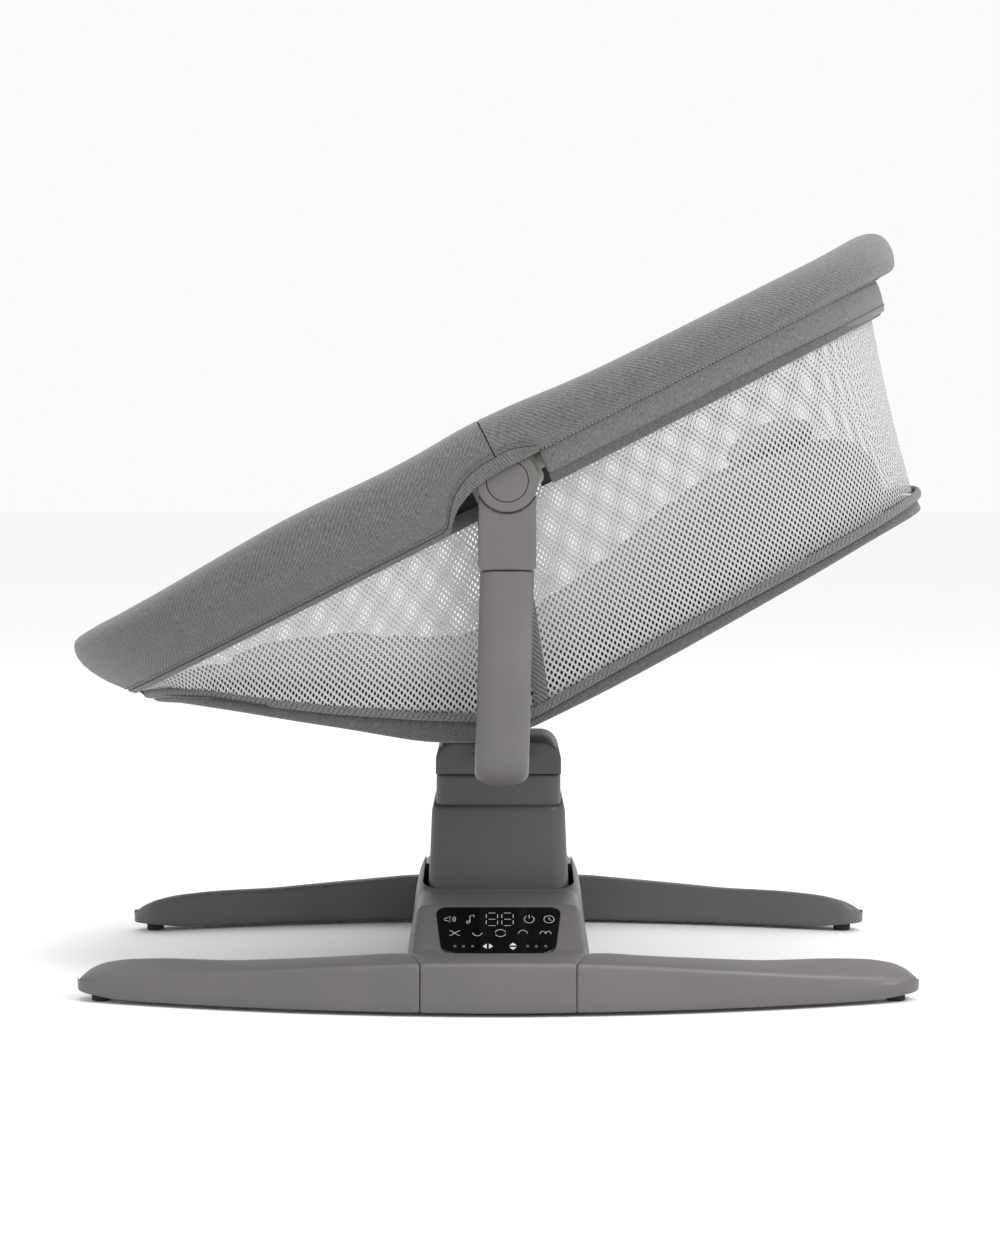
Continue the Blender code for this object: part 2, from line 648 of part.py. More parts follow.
def rim_tubes(basket):
    straight = [32, 90, 160, 230, 290]
    for end, half_long, label in ((-1, RIM_FOOT, "foot"), (1, RIM_HEAD, "head")):
        rows = rim_stations(end, half_long, straight, 7)
        tube(f"rim_tube_{label}", [(x, y, RIM_LEVEL) for x, y, _, _ in rows], TUBE_R, STEEL, basket)


def foot_cover_section(x):
    """Padded cover over the foot half of the rim: the outer skin runs down to a hem, which lifts
    over the yoke head."""
    lift = along([(30, 1), (46, 0.62), (60, 0)], abs(x))
    shoulder = mix((46, 4), (47.8, 21), lift)
    hem = mix((24, HEM_LEVEL), (46, 12), lift)
    hem_in = mix((22, HEM_LEVEL + 2.5), (42.6, 12), lift)
    shoulder_in = mix((41.5, 5), (43.4, 21), lift)
    outer = RIM_OUTER + [shoulder, hem]
    inner = [hem_in, shoulder_in] + RIM_INNER
    return outer + inner


def head_cover_section(x):
    lift = along([(34, 1), (50, 0)], abs(x))
    shoulder = mix((45, 17), (47.8, 21), lift)
    hem = mix((23, 11.8), (46, 12), lift)
    hem_in = mix((23, 14.6), (42.6, 12), lift)
    shoulder_in = mix((40.5, 19), (43.4, 21), lift)
    outer = RIM_OUTER + [shoulder, hem]
    inner = [hem_in, shoulder_in] + RIM_INNER
    return outer + inner


def skirt_section(toward_head):
    """The hanging skirt, drawn in closer to the tube round the head end."""
    tuck = SKIRT_TUCK * toward_head ** 3
    return [(32 - tuck, 11.2), (26 - tuck, HEM_LEVEL), (23.8 - tuck, HEM_LEVEL),
            (29.8 - tuck, 11.2)]


def rim_covers(basket):
    foot = rim_stations(-1, RIM_FOOT, [0.4, 30, 46, 60, 120, 200, 280], 7)
    loft("rim_cover_foot", [section_ring(s, foot_cover_section(s[0])) for s in foot], TWILL,
         basket, in_basket=True)
    head = rim_stations(1, RIM_HEAD, [0.4, 34, 50, 120, 200, 280], 7)
    loft("rim_cover_head", [section_ring(s, head_cover_section(s[0])) for s in head], TWILL,
         basket, in_basket=True)
    skirt = rim_stations(1, RIM_HEAD, [42, 60, 120, 200, 280], 7)
    loft("rim_skirt_head", [section_ring(s, skirt_section(s[2])) for s in skirt], TWILL, basket,
         in_basket=True)


def wall_ring(station, reach, low_lift):
    """One upright slice of a mesh wall, from under the rim down to the floor's edge."""
    x, y, nx, ny = station
    offset = wall_top_offset(x) - WALL - WALL_TUCK * max(nx, 0.0) ** 3
    top_x, top_y = x + nx * offset, y + ny * offset
    low_x = x * reach
    low_y = math.copysign(floor_half_width(low_x), y) if abs(y) > 1e-6 else 0.0
    low_z = along(FLOOR_LINE, low_x) + low_lift
    top_z = HEM_LEVEL - 1.0
    return [(top_x, top_y, top_z), (top_x + nx * WALL, top_y + ny * WALL, top_z),
            (low_x + nx * WALL, low_y + ny * WALL, low_z), (low_x, low_y, low_z)]


def mesh_walls(basket):
    head = rim_stations(1, RIM_HEAD, [0.6, 60, 120, 200, 280], 7)
    share = (FLOOR_HEAD - 8) / RIM_HEAD
    rings = [wall_ring(s, share, 5.5) for s in head]
    loft("mesh_wall_head", rings, MESH_GREY, basket, in_basket=True)
    for side, row in ((-1, "front"), (1, "rear")):
        rings = []
        for x in (0.6, 64, 128, 200, 268, 328):
            y = side * squircle_width(x, RIM_FOOT, RIM_HALF)
            station = (-x, y, 0.0, side)
            rings.append(wall_ring(station, 1.0, 5.5))
        loft(f"mesh_wall_foot_{row}", rings, MESH_GREY, basket, in_basket=True)


def slab_ring(x, half, low, high, crown=0.0):
    """A slice across the basket: flat below, crowned above, with rounded edges."""
    soft = min(half * 0.2, (high - low) * 0.4)
    return [(x, -half, low + soft), (x, -half + soft, low), (x, half - soft, low),
            (x, half, low + soft), (x, half, high - soft), (x, half - soft, high),
            (x, 0, high + crown), (x, -half + soft, high), (x, -half, high - soft)]


def floor_pieces(basket):
    boards = (("foot", [-388, -372, -334, -277, -240, -170, -92]),
              ("head", [-84, 38, 160, 259, 312, 335]))
    for label, stations in boards:
        rings = [slab_ring(x, floor_half_width(x, -8), along(FLOOR_LINE, x) + 1.0,
                           along(FLOOR_LINE, x) + 5.0) for x in stations]
        loft(f"floor_board_{label}", rings, HARDBOARD, basket, in_basket=True)
    stations = [-396, -372, -334, -277, -240, -180, -136, -86, 28, 160, 281, 326, 343]
    rings = [slab_ring(x, floor_half_width(x, -1.5), along(UNDER_LINE, x),
                       along(FLOOR_LINE, x)) for x in stations]
    loft("floor_cover", rings, TWILL, basket, in_basket=True)
    stations = [-318, -300, -225, -146, -90, 0, 75, 158, 260, 310, 330]
    rings = []
    for x in stations:
        low = along(FLOOR_LINE, x) + 6.0
        high = max(along(PAD_LINE, x), low + 14)
        if x < -310 or x > 320:
            high = low + 14
        rings.append(slab_ring(x, floor_half_width(x, -9), low, high))
    loft("seat_pad", rings, PAD_CLOTH, basket, in_basket=True)
    rings = [slab_ring(x, half, -87.0, high) for x, half, high in
             ((206, 90, -82), (216, 118, -72), (250, 124, -66), (284, 118, -72), (294, 90, -82))]
    loft("head_cushion", rings, PAD_CLOTH, basket, in_basket=True)


def floor_piping(basket):
    """The taped edge where wall, floor and underside are sewn together: one closed loop."""
    points = []
    for side in (-1, 1):
        row = [-400, -386, -360, -334, -300, -277, -240, -170, -86, 38, 160, 259, 312, 340, 353]
        if side > 0:
            row = row[::-1]
        for x in row:
            points.append((x, side * (floor_half_width(x, 6.0)), along(FLOOR_LINE, x) - 1.0))
    tube("floor_piping", points, 3.2, TWILL, basket, loop=True)


def pivot_pieces(basket):
    for side, row in ((-1, "front"), (1, "rear")):
        bracket = block(f"pivot_bracket_{row}", (62, 17, 56), (0, side * 239, 10), BRACKET_GREY,
                        basket, bevel=4.0, in_basket=True)
        boolean(bracket, cylinder(f"bracket_bore_{row}", PIN_R + 0.2, (0, side * 229.5, 0),
                                  (0, side * 252, 0), STEEL, basket, sides=20, in_basket=True))
        cylinder(f"pivot_pin_{row}", PIN_R, (0, side * 230, 0), (0, side * 264, 0), STEEL, basket,
                 sides=20, in_basket=True)


def basket_pieces(basket):
    rim_tubes(basket)
    pivot_pieces(basket)
    rim_covers(basket)
    mesh_walls(basket)
    floor_pieces(basket)
    floor_piping(basket)


def main():
    clear_scene()
    rocker = axis_empty("rock_axis", (0, 0, ROCK_Z))
    pinion_axis = axis_empty("pinion_axis", (pinion_centre(), 0, ROCK_Z))
    lift = axis_empty("lift_axis", (0, 0, LOWER_TOP), parent=rocker)
    screw_axis = axis_empty("screw_axis", (0, 0, ROCK_Z), parent=rocker)
    basket = axis_empty("tilt_axis", (PIVOT_X, 0, PIVOT_Z), -TILT, parent=lift)
    base_pieces()
    rocker_pieces(rocker, screw_axis, pinion_axis)
    lift_pieces(lift)
    for side, row in ((-1, "front"), (1, "rear")):
        axis = axis_empty(f"button_axis_{row}", (PIVOT_X, side * BUTTON_BACK, PIVOT_Z), parent=lift)
        button(f"release_button_{row}", side, axis)
    basket_pieces(basket)
    bpy.context.view_layer.update()


main()
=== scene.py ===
import json
import math

import bmesh
import bpy
import numpy as np
from mathutils import Matrix, Vector, noise


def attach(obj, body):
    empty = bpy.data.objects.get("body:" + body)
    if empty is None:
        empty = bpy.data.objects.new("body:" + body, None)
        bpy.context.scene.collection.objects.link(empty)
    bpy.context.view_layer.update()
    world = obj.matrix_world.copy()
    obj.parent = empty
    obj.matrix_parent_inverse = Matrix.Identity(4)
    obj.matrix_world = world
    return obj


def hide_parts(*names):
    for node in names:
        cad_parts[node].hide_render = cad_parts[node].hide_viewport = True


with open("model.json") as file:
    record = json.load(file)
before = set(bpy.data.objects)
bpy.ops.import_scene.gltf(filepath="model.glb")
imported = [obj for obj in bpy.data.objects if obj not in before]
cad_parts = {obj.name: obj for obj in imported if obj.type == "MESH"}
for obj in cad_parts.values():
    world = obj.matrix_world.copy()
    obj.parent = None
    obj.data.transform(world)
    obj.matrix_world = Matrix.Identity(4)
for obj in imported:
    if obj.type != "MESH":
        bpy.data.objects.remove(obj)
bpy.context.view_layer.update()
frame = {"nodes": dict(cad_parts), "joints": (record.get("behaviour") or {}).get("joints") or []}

MM = 0.001
NODES = frame["nodes"]
JOINTS = {j["name"]: j for j in frame["joints"]}
PIVOT = Vector(JOINTS["basket_tilt"]["pos_m"])
TILT = math.radians(JOINTS["basket_tilt"]["range_deg"][1])
BASKET = Matrix.Translation(PIVOT) @ Matrix.Rotation(-TILT, 4, "Y")
ROWS = ((-1, "front"), (1, "rear"))
ENDS = ((-1, "foot"), (1, "head"))

# basket, in millimetres from the pivot axis: x along the rim, z square to it
RIM_FOOT, RIM_HEAD, RIM_HALF, RIM_SQUARE = 410.0, 396.0, 236.0, 2.9
HEM = -20.0
FLOOR_LINE = ((-408, -24), (-372, -34), (-334, -53), (-277, -91), (-240, -115), (-170, -157),
              (-86, -203), (38, -197), (259, -193), (367, -190))
UNDER_LINE = ((-408, -32), (-372, -46), (-334, -70), (-277, -110), (-240, -136), (-180, -181),
              (-136, -205), (-82, -216), (28, -216), (281, -206), (367, -206))
PAD_LINE = ((-347, -36), (-325, -30), (-300, -38), (-225, -64), (-146, -112), (-90, -128),
            (0, -128), (75, -114), (158, -91), (300, -89), (332, -110))
FLOOR_HALF, FLOOR_HEAD, FLOOR_FOOT, FLOOR_SQUARE = 206.0, 351.0, 404.0, 3.3
FLOOR_WIDE = ((-400, 243), (-100, FLOOR_HALF), (400, FLOOR_HALF))  # wider under the foot half
ARCH = ((-68, -20), (-61, -11), (-53, -3), (-42, 3.5), (-27, 9), (-13, 11.4), (0, 12), (19, 12))
SEAM_TOP, SEAM_LOW = -8.0, -67.0  # where foot and head mesh panels meet, at the hem and floor

# base and tower, in millimetres from the middle of the floor; GLASS_FACE is above the slope
LEG_END, SEAM_X, LEG_MID_Y, LEG_BOW = 389.0, 70.0, 265.5, 72.5
DECK_Z, SLOPE_START, SLOPE_END, SLOPE_LOW = 84.0, 178.0, 235.0, 46.0
COLLAR_TOP, COLLAR_HALF_Y = 106.0, 82.0
ARM_Y, ARM_LOW, HUB_R, BUTTON_R, GLASS_FACE = 262.0, 215.0, 28.0, 18.8, 0.62
PIVOT_X, PIVOT_Z = PIVOT.x / MM, PIVOT.z / MM


# ---------------------------------------------------------------- colour and materials
def shade(code):
    """An sRGB hex colour as linear RGBA."""
    parts = [int(code[i:i + 2], 16) / 255 for i in (1, 3, 5)]
    return [c / 12.92 if c <= 0.04045 else ((c + 0.055) / 1.055) ** 2.4 for c in parts] + [1.0]


def fill(made, inputs):
    """Sets a node's inputs to values, or links them where a socket is given."""
    for key, value in inputs.items():
        if isinstance(value, bpy.types.NodeSocket):
            made.id_data.links.new(value, made.inputs[key])
        else:
            made.inputs[key].default_value = value


def node(tree, kind, inputs, output=0, **settings):
    """Adds a node with its settings and inputs, and gives one of its outputs."""
    made = tree.nodes.new("ShaderNode" + kind)
    for key, value in settings.items():
        setattr(made, key, value)
    fill(made, inputs)
    return made.outputs[output]


def new_material(name):
    """A material with its node tree and its main shader."""
    mat = bpy.data.materials.new(name)
    mat.use_nodes = True
    return mat, mat.node_tree, mat.node_tree.nodes["Principled BSDF"]


def moulded_plastic(name, colour, deep):
    """Injection-moulded ABS with a fine spark-eroded grain: matte, with a faint satin bloom and
    slight shade changes over a panel."""
    mat, tree, shader = new_material(name)
    place = node(tree, "TexCoord", {}, "Object")
    cloud = node(tree, "TexNoise", {"Vector": place, "Scale": 9.0, "Detail": 3.0})
    grain = node(tree, "TexNoise", {"Vector": place, "Scale": 1400.0, "Detail": 2.0})
    cloud = node(tree, "MapRange", {"Value": cloud, "From Min": 0.3, "From Max": 0.7})
    tone = node(tree, "MixRGB", {"Fac": cloud, "Color1": shade(deep), "Color2": shade(colour)})
    rough = node(tree, "MapRange", {"Value": grain, "From Min": 0.3, "From Max": 0.7,
                                    "To Min": 0.36, "To Max": 0.5})
    bump = node(tree, "Bump", {"Height": grain, "Strength": 0.12, "Distance": 0.0002})
    fill(shader, {"Base Color": tone, "Roughness": rough, "Normal": bump})
    return mat


def woven(name, light, dark, pitch, angle, relief, heather):
    """Woven polyester: diagonal ribs at the pitch given, in millimetres, on the piece's own UV map
    in metres, with the light and dark flecks of melange yarn. The pitch is coarser than the real
    thread, so that the weave shows."""
    mat, tree, shader = new_material(name)
    uv = node(tree, "TexCoord", {}, "UV")
    turned = node(tree, "Mapping", {"Vector": uv, "Rotation": (0, 0, math.radians(angle))})
    wobble = node(tree, "TexNoise", {"Vector": uv, "Scale": 60.0, "Detail": 2.0})
    ribs = node(tree, "TexWave", {"Vector": turned, "Scale": 0.05 / (pitch * MM) * 6.2832,
                                  "Distortion": 1.2, "Detail": 1.5, "Detail Scale": 1.5}, "Fac",
                wave_type="BANDS", bands_direction="X", wave_profile="SIN")
    yarn = node(tree, "Mapping", {"Vector": turned, "Scale": (900, 260, 1)})
    fleck = node(tree, "TexNoise", {"Vector": yarn, "Scale": 1.0, "Detail": 3.0,
                                    "Roughness": 0.7})
    fleck = node(tree, "MapRange", {"Value": fleck, "From Min": 0.33, "From Max": 0.67})
    both = node(tree, "MixRGB", {"Fac": heather, "Color1": ribs, "Color2": fleck})
    worn = node(tree, "MapRange", {"Value": wobble, "To Min": -0.12, "To Max": 0.12})
    both = node(tree, "Math", {0: both, 1: worn}, operation="ADD")
    tone = node(tree, "MixRGB", {"Fac": both, "Color1": shade(dark), "Color2": shade(light)})
    height = node(tree, "Math", {0: ribs, 1: fleck}, operation="ADD")
    bump = node(tree, "Bump", {"Height": height, "Strength": relief, "Distance": 0.0006})
    fill(shader, {"Base Color": tone, "Normal": bump, "Roughness": 0.92, "Sheen Weight": 0.25,
                  "Sheen Roughness": 0.5})
    return mat


def knit_mesh(name, light, dark):
    """Warp-knitted polyester air mesh: matt yarn with a slight sparkle between its holes."""
    mat, tree, shader = new_material(name)
    uv = node(tree, "TexCoord", {}, "UV")
    grain = node(tree, "TexNoise", {"Vector": uv, "Scale": 900.0, "Detail": 2.0})
    yarn = node(tree, "TexWave", {"Vector": uv, "Scale": 180.0, "Distortion": 2.0}, "Fac",
                bands_direction="DIAGONAL")
    both = node(tree, "MixRGB", {"Fac": 0.6, "Color1": yarn, "Color2": grain})
    tone = node(tree, "MixRGB", {"Fac": both, "Color1": shade(dark), "Color2": shade(light)})
    bump = node(tree, "Bump", {"Height": both, "Strength": 0.5, "Distance": 0.0004})
    fill(shader, {"Base Color": tone, "Normal": bump, "Roughness": 0.75, "Sheen Weight": 0.15})
    return mat


def metal(name, colour, roughness, lines):
    """Bright machined or drawn metal with fine lines from its making."""
    mat, tree, shader = new_material(name)
    place = node(tree, "TexCoord", {}, "Object")
    long = node(tree, "Mapping", {"Vector": place, "Scale": lines})
    brushed = node(tree, "TexNoise", {"Vector": long, "Scale": 1.0, "Detail": 3.0})
    rough = node(tree, "MapRange", {"Value": brushed, "To Min": roughness - 0.1,
                                    "To Max": roughness + 0.12})
    bump = node(tree, "Bump", {"Height": brushed, "Strength": 0.1, "Distance": 0.0002})
    fill(shader, {"Base Color": shade(colour), "Metallic": 1.0, "Roughness": rough,
                  "Normal": bump})
    return mat


def speckled(name, light, dark, scale, roughness, coat=0.0):
    """Rubber, solder resist, paint and the near-black sheets of painted shade in gaps: two close
    tones mixed at one grain size.
    """
    mat, tree, shader = new_material(name)
    place = node(tree, "TexCoord", {}, "Object")
    grain = node(tree, "TexNoise", {"Vector": place, "Scale": scale, "Detail": 3.0})
    tone = node(tree, "MixRGB", {"Fac": grain, "Color1": shade(dark), "Color2": shade(light)})
    bump = node(tree, "Bump", {"Height": grain, "Strength": 0.15, "Distance": 0.0002})
    fill(shader, {"Base Color": tone, "Normal": bump, "Roughness": roughness,
                  "Coat Weight": coat})
    return mat


def panel_glass():
    """Black-printed touch glass: deep black, polished, with the faintest cloud of finger grease."""
    mat, tree, shader = new_material("black_printed_glass")
    place = node(tree, "TexCoord", {}, "Object")
    grease = node(tree, "TexNoise", {"Vector": place, "Scale": 45.0, "Detail": 4.0})
    rough = node(tree, "MapRange", {"Value": grease, "From Min": 0.4, "From Max": 0.75,
                                    "To Min": 0.05, "To Max": 0.13})
    tone = node(tree, "MixRGB", {"Fac": grease, "Color1": shade("#050506"),
                                 "Color2": shade("#0a0a0c")})
    fill(shader, {"Base Color": tone, "Roughness": rough})
    return mat


def lit_icon():
    """White light-pipe print that glows a little."""
    mat, tree, shader = new_material("lit_icon_print")
    place = node(tree, "TexCoord", {}, "Object")
    uneven = node(tree, "TexNoise", {"Vector": place, "Scale": 300.0})
    tone = node(tree, "MixRGB", {"Fac": uneven, "Color1": shade("#9fa3a6"),
                                 "Color2": shade("#d4d8da")})
    fill(shader, {"Base Color": tone, "Emission Color": tone, "Emission Strength": 0.25,
                  "Roughness": 0.4})
    return mat


MATERIALS = {
    "shell": moulded_plastic("moulded_abs_grey", "#625f5e", "#5b5958"),
    # tower: the shell's grey plastic darkened, mostly as painted shade that falls under the basket
    "tower": moulded_plastic("moulded_abs_grey_painted_tower_shade", "#4f4d4e", "#484647"),
    "bracket": moulded_plastic("moulded_nylon_light_grey", "#a4a49c", "#98988f"),
    "inner_plastic": moulded_plastic("moulded_abs_black", "#37373a", "#2f2f31"),
    "twill": woven("melange_twill", "#747473", "#393939", 3.2, 48, 0.45, 0.68),
    "skirt": woven("melange_plain_weave", "#7b7b79", "#424241", 1.6, 0, 0.35, 0.8),
    "hem": woven("folded_hem_weave", "#666665", "#363635", 1.6, 90, 0.4, 0.75),
    "tape": woven("grosgrain_tape", "#7d7d7a", "#3f3f3d", 2.8, 55, 0.9, 0.35),
    "binding": woven("ribbed_binding", "#727271", "#3b3b3a", 2.4, 28, 0.5, 0.55),
    "under": woven("heather_canvas", "#666664", "#30302f", 1.8, 45, 0.35, 0.85),
    "pad": woven("quilted_jersey", "#68686a", "#3c3c3e", 1.7, 35, 0.3, 0.7),
    "thread": woven("sewing_thread", "#a9a9a4", "#74746f", 0.8, 30, 0.3, 0.5),
    "dark_thread": woven("dark_sewing_thread", "#3c3c3a", "#242423", 0.8, 30, 0.3, 0.5),
    "liner": woven("dark_lining", "#3f3f3d", "#21211f", 1.2, 45, 0.3, 0.6),
    "air_mesh": knit_mesh("air_mesh_knit", "#bebcbe", "#a2a0a3"),
    "glass": panel_glass(),
    "icon": lit_icon(),
    "steel": metal("drawn_steel", "#b9babc", 0.32, (600, 30, 600)),
    "brass": metal("cut_brass", "#b99a5c", 0.34, (500, 500, 60)),
    "rubber": speckled("moulded_rubber", "#2b2b2b", "#1d1d1d", 700.0, 0.85),
    "board": speckled("solder_resist", "#1f5c36", "#174a2a", 240.0, 0.4, 0.3),
    # gap: a near-black sheet of painted shade, for gaps and seams
    "gap": speckled("shadowed_gap", "#141414", "#0c0c0c", 500.0, 0.95),
}


# ---------------------------------------------------------------- mesh helpers
def deselect():
    """Leaves edit mode and selects nothing."""
    if bpy.context.object and bpy.context.object.mode != "OBJECT":
        bpy.ops.object.mode_set(mode="OBJECT")
    bpy.ops.object.select_all(action="DESELECT")


def select_only(obj):
    deselect()
    obj.select_set(True)
    bpy.context.view_layer.objects.active = obj


def apply_modifiers(obj):
    select_only(obj)
    for mod in list(obj.modifiers):
        bpy.ops.object.modifier_apply(modifier=mod.name)


def soften(obj, angle):
    """Smooth shading, with edges sharper than angle degrees left crisp."""
    select_only(obj)
    bpy.ops.object.shade_smooth_by_angle(angle=math.radians(angle))


def subdivide_once(obj):
    mod = obj.modifiers.new("surface", "SUBSURF")
    mod.levels = mod.render_levels = 1
    apply_modifiers(obj)


def face_outwards(obj):
    """Turns the selected object's faces outwards, in edit mode."""
    select_only(obj)
    bpy.ops.object.mode_set(mode="EDIT")
    bpy.ops.mesh.select_all(action="SELECT")
    bpy.ops.mesh.normals_make_consistent(inside=False)
    bpy.ops.object.mode_set(mode="OBJECT")


def give(obj, material, body, *stands_for, slot=None):
    """Finishes a piece: its material, its body and the CAD nodes it stands for. slot is not used.
    """
    obj.data.materials.clear()
    obj.data.materials.append(MATERIALS[material])
    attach(obj, body)
    if stands_for:
        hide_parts(*stands_for)
    return obj


def lengths(points):
    """The running length along a row of points, from 0."""
    steps = np.linalg.norm(np.diff(points, axis=0), axis=1)
    return np.concatenate([[0.0], np.cumsum(steps)])


def skin(name, rings, caps=True, loop=False, in_basket=False, subdivide=False, smooth_angle=40):
    """Wraps a grid over a row of matching closed rings, in millimetres. Its UV map is in metres:
    x along the row, y round the ring. loop joins the last ring to the first."""
    points = np.array(rings, float) * MM
    points = np.concatenate([points, points[:, :1]], axis=1)
    if loop:
        points = np.concatenate([points, points[:1]], axis=0)
    down, across = points.shape[:2]
    middle = points[:, across // 3]
    along_row = lengths(middle)
    round_ring = lengths(points[down // 2])
    deselect()
    bpy.ops.mesh.primitive_grid_add(x_subdivisions=across - 1, y_subdivisions=down - 1, size=1)
    obj = bpy.context.object
    obj.name = obj.data.name = name
    mesh = obj.data
    mesh.vertices.foreach_set("co", points.reshape(-1).astype(np.float32))
    corner = np.empty(len(mesh.loops), np.int32)
    mesh.loops.foreach_get("vertex_index", corner)
    uv = np.stack([along_row[corner // across], round_ring[corner % across]], axis=1)
    mesh.uv_layers.active.data.foreach_set("uv", uv.reshape(-1).astype(np.float32))
    mesh.update()
    bpy.ops.object.mode_set(mode="EDIT")
    bpy.ops.mesh.select_all(action="SELECT")
    bpy.ops.mesh.remove_doubles(threshold=0.00001)
    if caps and not loop:
        bpy.ops.mesh.select_all(action="SELECT")
        bpy.ops.mesh.fill_holes(sides=0)
    bpy.ops.object.mode_set(mode="OBJECT")
    face_outwards(obj)
    if subdivide:
        subdivide_once(obj)
    if in_basket:
        obj.data.transform(BASKET)
    soften(obj, smooth_angle)
    return obj


def sewn(name, rings, material, *stands_for, angle=60, **more):
    """A fabric piece of the basket, wrapped over its rings."""
    piece = skin(name, rings, in_basket=True, smooth_angle=angle, **more)
    return give(piece, material, "basket", *stands_for, slot="twill")


def round_bar(name, radius, start, end, sides=48, bevel=0.6):
    """A round bar from a cylinder primitive between two points in millimetres, edges bevelled."""
    start, end = Vector(start) * MM, Vector(end) * MM
    axis = end - start
    deselect()
    bpy.ops.mesh.primitive_cylinder_add(vertices=sides, radius=radius * MM, depth=axis.length)
    obj = bpy.context.object
    obj.name = obj.data.name = name
    turn = axis.to_track_quat("Z", "Y").to_matrix().to_4x4()
    obj.data.transform(Matrix.Translation((start + end) / 2) @ turn)
    if bevel:
        mod = obj.modifiers.new("edge", "BEVEL")
        mod.width, mod.segments, mod.limit_method = bevel * MM, 3, "ANGLE"
        apply_modifiers(obj)
    soften(obj, 40)
    return obj


def cut(obj, tool, operation="DIFFERENCE"):
    """Cuts a tool from a piece, or joins it on, and removes the tool."""
    mod = obj.modifiers.new("cut", "BOOLEAN")
    mod.operation, mod.object, mod.solver = operation, tool, "EXACT"
    apply_modifiers(obj)
    bpy.data.objects.remove(tool, do_unlink=True)


def at(line, x):
    """The height at x of a line given as (x, height) points."""
    return float(np.interp(x, [p[0] for p in line], [p[1] for p in line]))


def ease(low, high, x):
    """0 below low, 1 above high, and a smooth rise between them."""
    t = min(max((x - low) / (high - low), 0.0), 1.0)
    return t * t * (3 - 2 * t)


def mix(a, b, share):
    return tuple(p + (q - p) * share for p, q in zip(a, b))


def ripple(x, y, z, size, seed=0.0):
    """A soft unevenness of about the size given, from -1 to 1."""
    return noise.noise(Vector((x / size + seed, y / size, z / size)))


# ---------------------------------------------------------------- camera, light and floor
def studio():
    """A pale floor, soft lights and a level camera on the control side."""
    deselect()
    bpy.ops.mesh.primitive_circle_add(vertices=96, radius=40, fill_type="TRIFAN")
    floor = bpy.context.object
    floor.name = "pale_floor"
    mat = speckled("pale_painted_floor", "#fdfdfd", "#fafafa", 3.0, 0.9)
    floor.data.materials.append(mat)
    world = bpy.data.worlds.new("studio")
    bpy.context.scene.world = world
    world.use_nodes = True
    world.node_tree.nodes["Background"].inputs["Color"].default_value = (1, 1, 1, 1)
    world.node_tree.nodes["Background"].inputs["Strength"].default_value = 0.96
    bpy.context.scene.view_settings.view_transform = "Standard"
    for name, place, size, power in (("key", (1.9, -1.7, 2.3), 0.9, 42),
                                     ("top", (0.2, -0.5, 3.0), 1.8, 44),
                                     ("back", (0.2, 2.2, 2.8), 2.4, 10)):
        light = bpy.data.lights.new(name, "AREA")
        light.shape, light.size, light.energy = "DISK", size, power
        lamp = bpy.data.objects.new(name, light)
        bpy.context.scene.collection.objects.link(lamp)
        lamp.location = place
        aim = Vector((0, 0, 0.35)) - lamp.location
        lamp.rotation_euler = aim.to_track_quat("-Z", "Y").to_euler()
    camera = bpy.data.cameras.new("camera")
    camera.lens, camera.sensor_width = 79.2, 36.0
    lens = bpy.data.objects.new("camera", camera)
    bpy.context.scene.collection.objects.link(lens)
    lens.location = (0.0015, -2.75, PIVOT.z)
    lens.rotation_euler = (math.radians(90.0), 0, 0)
    camera.shift_y = -0.1152  # frames the base while the camera stays level
    bpy.context.scene.camera = lens


# ---------------------------------------------------------------- base
def leg_ring(x, side_x, side_y, from_seam):
    """The leg's rounded section at x. Near the seam, its inner side starts further out."""
    mid = LEG_MID_Y - LEG_BOW * (x / LEG_END) ** 2
    nose = max(0.0, (x - 372.0) / (LEG_END + 0.4 - 372.0))
    half = (22.5 - 5.5 * x / LEG_END) * math.sqrt(1.0 - nose * nose)
    low = at(((345, 3), (LEG_END, 9)), x)
    edge = at(((0, 49), (70, 48), (132, 45), (222, 38), (285, 32), (350, 27), (380, 23),
               (389, 18)), x)
    crest = at(((90, 52), (180, 46), (245, 41.5), (310, 41), (350, 38), (372, 33), (383, 27),
                (389, 19.5)), x)
    soft = min(1.0, half / 15.0)
    section = ((half - 3 * soft, low), (half - 0.9 * soft, low + 1.2), (half, low + 5),
               (half + 0.7 * soft, low + 11), (half + 0.2 * soft, low + 14),
               (half - 1.2 * soft, edge - 7), (half - 2.6 * soft, edge - 2.5),
               (half - 5.5 * soft, edge - 0.2), (half * 0.3, mix((edge,), (crest,), 0.4)[0]),
               (-half * 0.35, mix((edge,), (crest,), 0.85)[0]), (-half + 7 * soft, crest - 0.2),
               (-half + 3 * soft, crest - 1.6), (-half + 0.8 * soft, crest - 5),
               (-half, low + 8), (-half + 0.8 * soft, low + 1.2), (-half + 3 * soft, low))
    slope = 2 * LEG_BOW * x / LEG_END ** 2
    size = math.hypot(1.0, slope)
    ring = []
    for n, z in section:
        lag = 17.0 * max(0.0, 0.5 - n / (2 * max(half, 1))) ** 1.6 * from_seam
        ring.append((side_x * (x + lag + n * slope / size * (1 - from_seam)),
                     side_y * (mid + n / size), z))
    return ring


